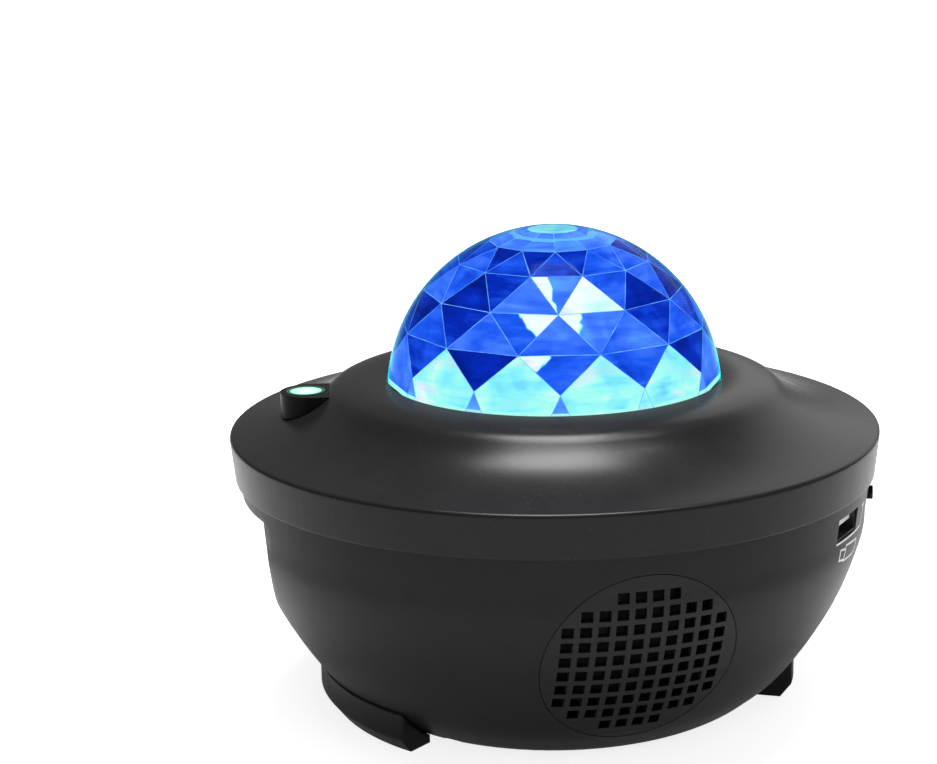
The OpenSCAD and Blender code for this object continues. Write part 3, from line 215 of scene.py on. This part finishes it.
chip_black = finish("chip_black", (0.011, 0.011, 0.012), (0.018, 0.018, 0.019), rough=0.55, grain=7000)
capacitor_blue = finish("capacitor_sleeve", (0.016, 0.03, 0.09), (0.022, 0.04, 0.12), rough=0.25)
led_yellow = finish("lamp_phosphor", (0.85, 0.7, 0.22), (0.92, 0.78, 0.3), rough=0.5, blotch=1500)
lens_clear = finish("lens_clear", (0.8, 0.86, 0.9), (0.88, 0.93, 0.96), rough=0.06, rough_vary=0.02,
                    grain_depth=0, Transmission_Weight=0.9, IOR=1.49)
disc_clear = finish("disc_clear", (0.72, 0.83, 0.98), (0.8, 0.9, 1.0), rough=0.1, grain=240, grain_depth=2e-4,
                    Transmission_Weight=0.85, IOR=1.49)
magnet_grey = finish("ferrite", (0.035, 0.035, 0.037), (0.055, 0.055, 0.057), rough=0.6, blotch=500)
cone_paper = finish("cone_paper", (0.02, 0.0185, 0.017), (0.04, 0.037, 0.033), rough=0.85, blotch=900,
                    grain=3000, grain_depth=5e-5)
basket_black = finish("basket_black", (0.008, 0.008, 0.0085), (0.012, 0.012, 0.0125), rough=0.6, blotch=400)
rubber_black = finish("rubber_black", (0.01, 0.01, 0.01), (0.015, 0.015, 0.015), rough=0.7)
tongue_grey = finish("tongue_grey", (0.74, 0.75, 0.76), (0.8, 0.81, 0.82), rough=0.42)
print_white = finish("print_white", (0.84, 0.84, 0.84), (0.9, 0.9, 0.9), rough=0.5, blotch=900, grain_depth=0)
bezel_green = finish("bezel_green", (0.004, 0.075, 0.035), (0.008, 0.11, 0.055), rough=0.2, Coat_Weight=0.5)

# The middle of the pod's window, and the radius in mm out to which it glows
WINDOW_CENTRE = around(-100, 64.1, 81.9)
WINDOW_GLOW_R = 4.2


def window_glow():
    """The pod's window, lit from behind: nearly white in the middle and green at its edge."""
    g = Graph("window_green")
    at = g.place()
    away = g.vector("LENGTH", g.vector("SUBTRACT", at, tuple(WINDOW_CENTRE)))
    edge = g.math("ADD", away, g.swing(g.noise(at, 500, 2.0), 1.2 * MM))
    tone = g.remap(edge, 0.0, WINDOW_GLOW_R * MM, 0.0, 1.0)
    colour = g.ramp(tone, [(0.0, (0.86, 1.0, 0.92)), (0.75, (0.5, 1.0, 0.74)), (1.0, (0.04, 0.4, 0.2))])
    g.put(g.shader.inputs["Emission Color"], colour)
    g.settle(Base_Color=(0.2, 0.5, 0.38, 1), Emission_Strength=0.86, Roughness=0.12)
    return g.material


window_green = window_glow()

FINISH_OF = {
    case_black: ["top_cover"],
    bowl_black: ["lower_bowl", "base_plate"],
    foot_black: ["foot_left", "foot_right"],
    grille_black: ["speaker_grille"],
    gloss_black: ["pod_housing", "button_1", "button_2", "button_3", "button_4"],
    inner_grey: ["dome_ring", "chassis"],
    inner_white: ["light_shroud"],
    gear_white: ["ripple_gear", "ripple_pinion", "star_gear", "star_pinion"],
    aluminium: ["heat_plate", "laser_block"],
    steel: ["ripple_spindle", "ripple_motor", "star_motor", "microphone"],
    shade_darkened_steel: ["usb_shell"],
    zinc: ["case_screws", "base_screws", "foot_screws", "ring_screws", "speaker_screws", "board_screws"],
    basket_black: ["speaker_basket"],
    brass: ["laser_barrel", "power_pin"],
    board_green: ["main_board", "socket_board"],
    board_white: ["led_board"],
    chip_black: ["main_chips", "infrared_receiver", "push_switches", "power_inlet"],
    capacitor_blue: ["capacitors"],
    led_yellow: ["led_chips"],
    lens_clear: ["led_lenses"],
    disc_clear: ["ripple_disc", "star_grating"],
    magnet_grey: ["speaker_magnet"],
    cone_paper: ["speaker_cone"],
    rubber_black: ["speaker_gasket", "speaker_surround"],
    tongue_grey: ["usb_tongue"],
    bezel_green: ["pod_bezel"],
    window_green: ["pod_window"],
}


def dress(node, material):
    """Puts the material in every slot of a CAD node."""
    obj = NODES[node]
    for s in obj.material_slots:
        s.material = material
    if not obj.material_slots:
        obj.data.materials.append(material)


for material, names in FINISH_OF.items():
    for node in names:
        dress(node, material)


# The case's curves are made of narrow cones and rings. These pieces are shaded as the smooth curves they stand for,
# and only corners sharper than CORNER degrees stay. Points closer than JOIN_WITHIN metres are one point
SMOOTH_NODES = ["top_cover", "lower_bowl", "base_plate", "foot_left", "foot_right", "pod_housing"]
CORNER = 32
JOIN_WITHIN = 2e-6


def soft_bands():
    """A node group that joins a CAD node's narrow bands and shades them as one surface, up to its real corners."""
    tree = bpy.data.node_groups.new("soft_bands", "GeometryNodeTree")
    for way in ("INPUT", "OUTPUT"):
        tree.interface.new_socket("Geometry", in_out=way, socket_type="NodeSocketGeometry")
    start, end, merge, angle, corner, normals = (tree.nodes.new(kind) for kind in (
        "NodeGroupInput", "NodeGroupOutput", "GeometryNodeMergeByDistance", "GeometryNodeInputMeshEdgeAngle",
        "FunctionNodeCompare", "GeometryNodeSetMeshNormal"))
    merge.inputs["Distance"].default_value = JOIN_WITHIN
    corner.operation = "GREATER_THAN"
    corner.inputs[1].default_value = math.radians(CORNER)
    normals.inputs["Remove Custom"].default_value = True
    tree.links.new(start.outputs[0], merge.inputs["Geometry"])
    tree.links.new(angle.outputs["Unsigned Angle"], corner.inputs[0])
    tree.links.new(merge.outputs[0], normals.inputs["Mesh"])
    tree.links.new(corner.outputs[0], normals.inputs["Edge Sharpness"])
    tree.links.new(normals.outputs[0], end.inputs[0])
    return tree


bands = soft_bands()
for node in SMOOTH_NODES:
    NODES[node].modifiers.new("soft_bands", "NODES").node_group = bands
    weights = NODES[node].modifiers.new("weights", "WEIGHTED_NORMAL")
    weights.mode = "FACE_AREA_WITH_ANGLE"
    weights.keep_sharp = True


# ---------- the dome ----------

# Lengths in mm and angles in degrees. The outside is part of a ball about (0, 0, CENTRE_Z) with a flat of radius
# CAP_R on its top. It meets the case's collar at SEAT_Z, and the flange that clamps it has the bore BORE_R
DOME_R = 43.3
CENTRE_Z = 79.7
SEAT_Z = 84.2
CAP_R = 5.9
FLANGE_R = 45.6
FLANGE_H = 1.5
BORE_R = 40.6
OUTER_STEPS = 128
ARC_STEPS = 40

# The facets' corners lie on rings at these latitudes, and each ring is turned by half a step from the last. TURN is
# the azimuth of place 0, LEAN how far the wedges' feet stand out for each mm of height, and EDGE_W the width of the
# bevel along every edge
SIDES = 12
STEP = 360 / SIDES
TURN = -13.3
FACET_R = 42.4
FACET_CAP_R = 6.5
CAP_DROP = 0.7
LATITUDES = [12.3, 25.0, 39.4, 54.7, 67.7]
LEAN = 0.06
LEDGE_Z = SEAT_Z - 1
EDGE_W = 0.08
EDGE_SLOT, CLEAR_SLOT = 1, 2

# The pale ring round the crown lies between these heights, and fades over CREST_SOFT at either side
CREST_LOW, CREST_HIGH, CREST_SOFT = 120.2, 121.2, 0.3

# Where light from the dome reaches other surfaces, this share of its colour gives way to a grey
BOUNCE_SHARE = 0.88
BOUNCE_GREY = (0.2, 0.2, 0.2)

# The rings are counted from below: RIM is the last one on the ball, and FLAT the edge of the flat top
RIM = len(LATITUDES) - 1
FLAT = RIM + 1
ring_rs = [FACET_R * math.cos(math.radians(a)) for a in LATITUDES]
ring_zs = [CENTRE_Z + FACET_R * math.sin(math.radians(a)) for a in LATITUDES]
half = math.radians(STEP / 2)
# How far from the axis the planes of the kites and the wedges lie, on the first ring and down on the ledge. The two
# meet along an edge, which gives half the width of a wedge's foot
kite_d = ring_rs[0] * math.cos(half)
kite_low_d = kite_d + (kite_d - ring_rs[1]) / (ring_zs[1] - ring_zs[0]) * (ring_zs[0] - LEDGE_Z)
wedge_d = ring_rs[0] + LEAN * (ring_zs[0] - LEDGE_Z)
wedge_half = (kite_low_d - wedge_d * math.cos(half)) / math.sin(half)
low_r = math.hypot(wedge_d, wedge_half)
low_turn = math.degrees(math.atan(wedge_half / wedge_d))

# How light each kind of facet is. The others get a tone between the two of ANY_TONE
TONE = {"wedge": 0.55, "kite": 0.88, "cap": 0.8, "crown": 0.52}
ANY_TONE = (0.06, 0.42)

# How light each facet of the front is, and how the lamp's own image crosses it from corner to corner: the image
# covers what lies above the middle of IMAGE_EDGE. The corners run: lower left, lower right, top of an upright facet,
# and foot, top right, top left of a hanging one
FRONT = {
    ("down", 0, -2): (0.12, None), ("down", 0, -1): (0.33, (-0.1, -0.3, 0.98)), ("down", 0, 0): (0.36, None),
    ("down", 0, 1): (0.2, None), ("up", 1, -2): (0.47, None), ("up", 1, -1): (0.42, None),
    ("up", 1, 0): (0.44, None), ("up", 1, 1): (0.38, None), ("down", 1, -2): (0.17, None),
    ("down", 1, -1): (0.34, (-0.05, 1.3, -0.1)), ("down", 1, 0): (0.48, (0.0, -0.4, 1.0)),
    ("down", 1, 1): (0.2, (-0.4, 0.1, 0.2)), ("up", 2, -2): (0.04, None), ("up", 2, -1): (0.5, None),
    ("up", 2, 0): (0.95, (1.2, 1.2, 1.2)), ("up", 2, 1): (0.08, None), ("down", 2, -2): (0.2, None),
    ("down", 2, -1): (0.5, (0.5, -0.6, 1.05)), ("down", 2, 0): (0.36, None), ("up", 3, -1): (0.2, None),
    ("up", 3, 0): (0.36, None), ("up", 3, -2): (0.24, None), ("wedge", 0, -1): (0.57, None),
    ("wedge", 0, 0): (0.6, None), ("wedge", 0, 1): (0.9, None), ("kite", 0, -3): (0.48, None),
    ("kite", 0, 2): (0.46, None),
}

# Away from the front IMAGE_SHARE of the triangles show a part of the lamp's image too, and each of their corners
# gets a value between the two of IMAGE_CORNERS
IMAGE_EDGE = (0.44, 0.56)
FRONT_PLACES = range(-4, 4)
IMAGE_SHARE = 0.3
IMAGE_CORNERS = (-0.6, 1.2)
NO_IMAGE = -1
FACET_SEED = 11


def dome_facets():
    """Each facet as (kind, ring, place along the ring, corner points), the facet at the front having place 0."""
    rings = [[around(TURN + (j % 2) * STEP / 2 + k * STEP, ring_rs[j], ring_zs[j]) for k in range(SIDES)]
             for j in range(len(LATITUDES))]
    rings.append([around(TURN + k * STEP, FACET_CAP_R, dome_top - CAP_DROP) for k in range(SIDES)])
    low = [around(TURN - low_turn + k * STEP, low_r, LEDGE_Z) for k in range(SIDES)]
    high = [around(TURN + low_turn + k * STEP, low_r, LEDGE_Z) for k in range(SIDES)]

    def at(j, k):
        return rings[j][k % SIDES]

    facets = []
    for k in range(-SIDES // 2, SIDES // 2):
        facets.append(("wedge", 0, k, [at(0, k), low[k % SIDES], high[k % SIDES]]))
        facets.append(("kite", 0, k, [at(1, k), at(0, k), high[k % SIDES], low[(k + 1) % SIDES], at(0, k + 1)]))
        for j in range(RIM):
            s = j % 2
            facets.append(("down", j, k, [at(j, k + 1 - s), at(j + 1, k + 1), at(j + 1, k)]))
            if j > 0:
                facets.append(("up", j, k, [at(j, k), at(j, k + 1), at(j + 1, k + s)]))
        facets.append(("crown", RIM, k, [at(RIM, k), at(RIM, k + 1), at(FLAT, k + 1), at(FLAT, k)]))
    facets.append(("cap", FLAT, 0, [at(FLAT, k) for k in range(SIDES)]))
    return facets


def dome_material():
    """The facets, lit from below: each one shows another patch of the light behind it."""
    g = Graph("dome_blue")
    seed, tone, image = (g.attribute(f"facet_{name}") for name in ("seed", "tone", "glow"))
    # The seed moves each facet's clouds to a place of their own
    shift = g.add("ShaderNodeCombineXYZ", {
        0: g.math("MULTIPLY", seed, 3.7), 1: g.math("MULTIPLY", seed, 9.1), 2: seed})
    at = g.vector("ADD", g.attribute("facet_at", "Vector"), shift.outputs[0])
    cloud = g.noise(at, 95, 2.5, 0.5, distortion=0.6)
    streak = g.noise(at, 60, 3.0, 0.55, stretch=(1, 4.5, 1), distortion=0.5)
    ragged = g.noise(at, 130, 2.0, 0.5, distortion=1.0)

    # The facet's own tone, clouded and streaked, and over it the lamp's image with its ragged edge
    soft = g.math("ADD", g.swing(cloud, 0.5), g.swing(streak, 0.42))
    level = g.math("ADD", tone, soft)
    torn = g.math("ADD", image, g.swing(ragged, 0.5))
    inside = g.add("ShaderNodeMapRange", {0: torn, 1: IMAGE_EDGE[0], 2: IMAGE_EDGE[1], 3: 0.0, 4: 1.0},
                   interpolation_type="SMOOTHSTEP")
    shine = g.math("MULTIPLY", inside.outputs[0], g.math("ADD", 0.99, g.math("MULTIPLY", soft, 0.3)))

    # A pale line along the seat, and a pale ring round the crown, where the rim of the dome's top catches the light
    height = g.add("ShaderNodeSeparateXYZ", {0: g.place()}).outputs[2]
    seat_line = g.remap(height, (SEAT_Z + 0.35) * MM, (SEAT_Z + 0.15) * MM, 0.0, 0.91)
    crest = g.math("ADD", height, g.swing(streak, 1.2 * MM))
    ring = g.math("MULTIPLY", g.remap(crest, CREST_LOW * MM, (CREST_LOW + CREST_SOFT) * MM, 0.0, 1.0),
                  g.remap(crest, (CREST_HIGH - CREST_SOFT) * MM, CREST_HIGH * MM, 0.7, 0.0))
    value = g.math("MAXIMUM", g.math("MAXIMUM", level, shine), g.math("MAXIMUM", seat_line, ring), clamp=True)

    colour = g.ramp(value, [
        (0.0, (0.0005, 0.008, 0.2)), (0.18, (0.0015, 0.022, 0.46)), (0.36, (0.012, 0.1, 0.86)),
        (0.5, (0.058, 0.2, 0.95)), (0.68, (0.11, 0.42, 0.97)), (0.82, (0.23, 0.86, 0.93)),
        (0.92, (0.4, 1.0, 0.85)), (1.0, (0.88, 1.0, 0.96))])
    lilac = g.math("MULTIPLY", g.remap(streak, 0.52, 0.68, 0.0, 0.45), g.remap(value, 0.75, 0.9, 0.0, 1.0))
    colour = g.mix(lilac, colour, (0.36, 0.5, 0.93))

    # The dome is bright to look at, but the case picks up little of its light and little of its blue
    path = g.add("ShaderNodeLightPath")
    bounces = g.math("ADD", path.outputs["Diffuse Depth"], path.outputs["Glossy Depth"])
    bounced = g.math("MULTIPLY", g.math("MINIMUM", bounces, 1.0), BOUNCE_SHARE)
    g.put(g.shader.inputs["Emission Color"], g.mix(bounced, colour, BOUNCE_GREY))
    g.settle(Base_Color=(0.0005, 0.002, 0.02, 1), Emission_Strength=1.04, Roughness=0.5, Specular_IOR_Level=0.0)
    return g.material


def edge_material():
    """The bright edges between the facets."""
    g = Graph("dome_edge")
    along = g.noise(g.place(), 160, 3.0)
    g.put(g.shader.inputs["Emission Color"], g.ramp(along, [(0.35, (0.03, 0.14, 0.78)), (0.65, (0.2, 0.6, 0.96))]))
    g.settle(Base_Color=(0.02, 0.06, 0.15, 1), Emission_Strength=0.95, Roughness=0.4, Specular_IOR_Level=0.0)
    return g.material


def clear_material():
    """The smooth outside of the dome: clear plastic, very faintly uneven, that looks cyan where it is seen edge on.

    Its IOR is low, so that the facets show right up to the dome's outline with little glare over them."""
    g = Graph("dome_clear")
    uneven = g.noise(g.place(), 70, 1.0)
    g.put(g.shader.inputs["Base Color"], g.ramp(uneven, [(0.3, (0.93, 0.98, 1.0)), (0.7, (0.96, 0.99, 1.0))]))
    g.put(g.shader.inputs["Normal"], g.bump(uneven, 2e-5))
    g.settle(Roughness=0.03, IOR=1.07, Specular_Tint=(0.04, 0.5, 0.9, 1), Transmission_Weight=1.0,
             Sheen_Weight=1.0, Sheen_Roughness=0.2, Sheen_Tint=(0.0, 1.0, 0.95, 1))
    return g.material


def add_facets(bm, rng):
    """The inside of the dome, each facet carrying what its material needs, with a thin bevel along every edge."""
    made = {}

    def vert(p):
        """The vertex at a point; points that agree to 7 decimals share one."""
        key = tuple(round(c, 7) for c in p)
        if key not in made:
            made[key] = bm.verts.new(p)
        return made[key]

    seeds = bm.faces.layers.float.new("facet_seed")
    tones = bm.faces.layers.float.new("facet_tone")
    glows = bm.loops.layers.float.new("facet_glow")
    places = bm.loops.layers.float_vector.new("facet_at")
    for kind, ring, k, points in dome_facets():
        face = bm.faces.new([vert(p) for p in points])
        face.normal_update()
        middle = sum(points, Vector()) / len(points)
        if face.normal.dot(middle - Vector((0, 0, CENTRE_Z * MM))) > 0:
            face.normal_flip()
        tone = TONE.get(kind, rng.uniform(*ANY_TONE))
        glow = None
        if kind in ("up", "down") and rng.random() < IMAGE_SHARE and k not in FRONT_PLACES:
            glow = [rng.uniform(*IMAGE_CORNERS) for _ in points]
        if (kind, ring, k) in FRONT:
            tone, glow = FRONT[kind, ring, k]
        face[seeds] = rng.random()
        face[tones] = tone
        # Each facet's clouds are laid along its own slope
        up = Vector((0, 0, 1)) - face.normal * face.normal.z
        up = up.normalized() if up.length > 1e-4 else Vector((0, 1, 0))
        across = up.cross(face.normal)
        for loop in face.loops:
            away = loop.vert.co - middle
            loop[places] = (away.dot(across), away.dot(up), 0)
            corner = min(range(len(points)), key=lambda i: (points[i] - loop.vert.co).length)
            loop[glows] = NO_IMAGE if glow is None else glow[corner]
    inner = [e for e in bm.edges if len(e.link_faces) == 2]
    bmesh.ops.bevel(bm, geom=inner, offset=EDGE_W * MM, offset_type="OFFSET", segments=1, profile=0.7,
                    affect="EDGES", material=EDGE_SLOT, clamp_overlap=True)


def build_dome():
    """One closed solid: smooth clear plastic outside, facets inside, and the flange that clamps it."""
    bm = bmesh.new()
    add_facets(bm, random.Random(FACET_SEED))
    rim = [e for e in bm.edges if len(e.link_faces) == 1]
    flange_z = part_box("dome")[0][2] / MM
    profile = [(CAP_R, dome_top)]
    start, end = math.acos(CAP_R / DOME_R), math.asin((SEAT_Z - CENTRE_Z) / DOME_R)
    for i in range(1, ARC_STEPS + 1):
        a = start + (end - start) * i / ARC_STEPS
        profile.append((DOME_R * math.cos(a), CENTRE_Z + DOME_R * math.sin(a)))
    profile += [(profile[-1][0], flange_z + FLANGE_H), (FLANGE_R, flange_z + FLANGE_H), (FLANGE_R, flange_z),
                (BORE_R, flange_z), (BORE_R, LEDGE_Z)]
    loops = [[bm.verts.new(around(i * 360 / OUTER_STEPS, r, z)) for i in range(OUTER_STEPS)] for r, z in profile]
    outside = []
    for upper, lower in zip(loops, loops[1:]):
        for i in range(OUTER_STEPS):
            j = (i + 1) % OUTER_STEPS
            outside.append(bm.faces.new((upper[i], lower[i], lower[j], upper[j])))
    top = bm.faces.new(loops[0])
    # A ledge joins the foot of the facets to the top of the bore
    bore = [bm.edges.get((loops[-1][i], loops[-1][(i + 1) % OUTER_STEPS])) for i in range(OUTER_STEPS)]
    ledge = bmesh.ops.triangle_fill(bm, use_beauty=True, edges=rim + bore)["geom"]
    ledge = [f for f in ledge if isinstance(f, bmesh.types.BMFace)]
    for face in outside + [top] + ledge:
        face.material_index = CLEAR_SLOT
    for face in outside[:ARC_STEPS * OUTER_STEPS]:
        face.smooth = True
    bmesh.ops.recalc_face_normals(bm, faces=bm.faces)
    return add_object("dome_facets", bm, dome_material(), edge_material(), clear_material())


dome_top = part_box("dome")[1][2] / MM
dome = build_dome()
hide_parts("dome")
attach(dome, "case")


# ---------- the pictograms beside the USB socket ----------

# In mm: the width and height of the printed lines, the length of their steps, and a radius outside the bowl. A
# degree of azimuth is about MM_PER_DEGREE mm long there
PRINT_W = 0.55
PRINT_RISE = 0.03
PRINT_STEP = 0.5
OUT_OF_BOWL = 95
MM_PER_DEGREE = 1.4

# Lines of (azimuth, height): a bracket round the socket, and the outline of a memory stick with its plug
PRINT_LINES = [
    [(42.5, 50.8), (55.9, 50.5), (57.2, 56.2), (55.4, 55.7)],
    [(47.0, 48.1), (47.2, 48.9), (53.3, 48.2), (52.8, 45.1), (51.8, 44.65), (46.5, 45.0)],
    [(47.0, 48.1), (44.6, 48.6), (44.4, 45.9), (46.7, 45.4), (47.0, 48.1)],
]


def print_on_bowl():
    """Thin printed lines that follow the bowl's own surface."""
    mesh = NODES["lower_bowl"].data
    tree = BVHTree.FromPolygons([v.co for v in mesh.vertices], [p.vertices for p in mesh.polygons])

    def on_bowl(azimuth, z):
        start = around(azimuth, OUT_OF_BOWL, z)
        towards = (around(azimuth, 0, z) - start).normalized()
        place, normal, _, _ = tree.ray_cast(start, towards)
        return place, normal

    bm = bmesh.new()
    for line in PRINT_LINES:
        points = []
        for (a0, z0), (a1, z1) in zip(line, line[1:]):
            steps = max(2, int(math.hypot((a1 - a0) * MM_PER_DEGREE, z1 - z0) / PRINT_STEP))
            points += [(a0 + (a1 - a0) * i / steps, z0 + (z1 - z0) * i / steps) for i in range(steps)]
        points.append(line[-1])
        closed = line[0] == line[-1]
        if closed:
            points.pop()
        spots = [on_bowl(*p) for p in points]
        # One small rectangle across the line at every spot, half sunk in the bowl
        sections = []
        for i, (place, normal) in enumerate(spots):
            before = spots[i - 1][0] if i or closed else place
            after = spots[(i + 1) % len(spots)][0] if i + 1 < len(spots) or closed else place
            side = (after - before).normalized().cross(normal).normalized() * PRINT_W / 2 * MM
            lift = normal * PRINT_RISE * MM
            corners = ((-1, -1), (1, -1), (1, 1), (-1, 1))
            sections.append([bm.verts.new(place + u * side + v * lift) for u, v in corners])
        for a, b in zip(sections, sections[1:] + (sections[:1] if closed else [])):
            for c in range(4):
                bm.faces.new((a[c], a[(c + 1) % 4], b[(c + 1) % 4], b[c]))
        if not closed:
            bm.faces.new(sections[0][::-1])
            bm.faces.new(sections[-1])
    bmesh.ops.recalc_face_normals(bm, faces=bm.faces)
    print_lines = add_object("socket_print", bm, print_white)
    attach(print_lines, "case")


print_on_bowl()


# ---------- floor, light and camera ----------

# The floor in metres: half its width, and how far it lies below the feet, clear of them
FLOOR_HALF = 12
FLOOR_DROP = 1e-4

# Its glow goes from FLOOR_NEAR, NEAR metres from its middle, to FLOOR_FAR at FAR metres, where 1 is white. Gloss
# shows FLOOR_IN_GLOSS of it
NEAR, FAR = 0.15, 1.2
FLOOR_NEAR, FLOOR_FAR = 0.82, 1.0
FLOOR_IN_GLOSS = 0.2

# The level of the room that lights the object, on its left and on its right
ROOM_LEFT, ROOM_RIGHT = 0.1, 0.26

# Where each lamp stands, where it points, its width and height in metres, and its power in watts
LAMPS = {
    "top": ((0.03, 0.13, 1.12), (-0.01, -0.05, 0.08), 0.42, 0.42, 12),
    "strip": ((0.02, -0.11, 1.1), (0, -0.05, 0.08), 0.95, 0.12, 3.4),
    "front": ((-0.25, -1.15, 0.7), (0, 0, 0.05), 1.2, 0.9, 1.5),
    "side": ((0.85, 0.85, 0.62), (0, 0, 0.08), 1.1, 0.7, 1.8),
}

# The camera, as fitted to the photograph: angles in degrees, places in metres, lens and sensor in mm, and shifts as
# shares of the frame's width
CAMERA_AZIMUTH, CAMERA_ELEVATION, CAMERA_ROLL = -15.3, 14.75, 0.63
CAMERA_TARGET = (0, 0, 0.0719)
CAMERA_DISTANCE = 0.55
LENS, SENSOR = 81.04, 36
SHIFT_X, SHIFT_Y = -0.0920, 0.0404
CLIP_START, CLIP_END = 0.01, 60


def make_floor():
    """Pale, and white to look at. It keeps the object's shadow."""
    g = Graph("floor")
    at = g.place()
    tone = g.noise(at, 3, 2.0)
    g.put(g.shader.inputs["Base Color"], g.ramp(tone, [(0.3, (0.86, 0.86, 0.86)), (0.7, (0.88, 0.88, 0.88))]))
    # It glows only for the rays that show the background, so that it looks white and lights nothing
    path = g.add("ShaderNodeLightPath")
    seen = g.math("MAXIMUM", path.outputs["Is Camera Ray"], path.outputs["Is Transmission Ray"])
    seen = g.math("MAXIMUM", seen, g.math("MULTIPLY", path.outputs["Is Glossy Ray"], FLOOR_IN_GLOSS))
    level = g.remap(g.vector("LENGTH", at), NEAR, FAR, FLOOR_NEAR, FLOOR_FAR)
    g.put(g.shader.inputs["Emission Strength"], g.math("MULTIPLY", seen, level))
    g.settle(Emission_Color=(1, 1, 1, 1), Roughness=0.9, Specular_IOR_Level=0.1)
    bm = bmesh.new()
    bmesh.ops.create_grid(bm, x_segments=1, y_segments=1, size=FLOOR_HALF)
    floor = add_object("floor", bm, g.material)
    floor.location = (0, 0, -FLOOR_DROP)


def make_world():
    """White to look at, and for other rays a dim room that is a little lighter on the right."""
    world = bpy.data.worlds.new("studio")
    bpy.context.scene.world = world
    world.use_nodes = True
    nodes, links = world.node_tree.nodes, world.node_tree.links
    path, coordinates, split, seen, room, level = (nodes.new(kind) for kind in (
        "ShaderNodeLightPath", "ShaderNodeTexCoord", "ShaderNodeSeparateXYZ", "ShaderNodeMath",
        "ShaderNodeMapRange", "ShaderNodeMapRange"))
    seen.operation = "MAXIMUM"
    for i, value in enumerate((-1, 1, ROOM_LEFT, ROOM_RIGHT), 1):
        room.inputs[i].default_value = value
    level.inputs[4].default_value = 1.0
    background = nodes["Background"]
    background.inputs["Color"].default_value = (1, 1, 1, 1)
    for source, socket in (
            (path.outputs["Is Camera Ray"], seen.inputs[0]), (path.outputs["Is Transmission Ray"], seen.inputs[1]),
            (coordinates.outputs["Generated"], split.inputs[0]), (split.outputs[0], room.inputs[0]),
            (seen.outputs[0], level.inputs[0]), (room.outputs[0], level.inputs[3]),
            (level.outputs[0], background.inputs["Strength"])):
        links.new(source, socket)


def make_lamp(name, place, target, width, height, power):
    data = bpy.data.lights.new(name, "AREA")
    data.shape = "RECTANGLE"
    data.size, data.size_y = width, height
    data.energy = power
    lamp = bpy.data.objects.new(name, data)
    bpy.context.scene.collection.objects.link(lamp)
    lamp.location = place
    lamp.rotation_euler = (Vector(target) - Vector(place)).to_track_quat("-Z", "Y").to_euler()


def make_camera():
    azimuth, elevation, roll = (math.radians(a) for a in (CAMERA_AZIMUTH, CAMERA_ELEVATION, CAMERA_ROLL))
    back = Vector((math.sin(azimuth) * math.cos(elevation), -math.cos(azimuth) * math.cos(elevation),
                   math.sin(elevation)))
    level_right = Vector((math.cos(azimuth), math.sin(azimuth), 0))
    level_up = back.cross(level_right)
    right = math.cos(roll) * level_right - math.sin(roll) * level_up
    up = math.sin(roll) * level_right + math.cos(roll) * level_up
    data = bpy.data.cameras.new("camera")
    data.lens, data.sensor_width, data.sensor_fit = LENS, SENSOR, "HORIZONTAL"
    data.shift_x, data.shift_y = SHIFT_X, SHIFT_Y
    data.clip_start, data.clip_end = CLIP_START, CLIP_END
    camera = bpy.data.objects.new("camera", data)
    bpy.context.scene.collection.objects.link(camera)
    place = Matrix.Translation(Vector(CAMERA_TARGET) + back * CAMERA_DISTANCE)
    camera.matrix_world = place @ Matrix((right, up, back)).transposed().to_4x4()
    bpy.context.scene.camera = camera


make_floor()
make_world()
for name, settings in LAMPS.items():
    make_lamp(name, *settings)
make_camera()
bpy.context.scene.view_settings.view_transform = "Standard"
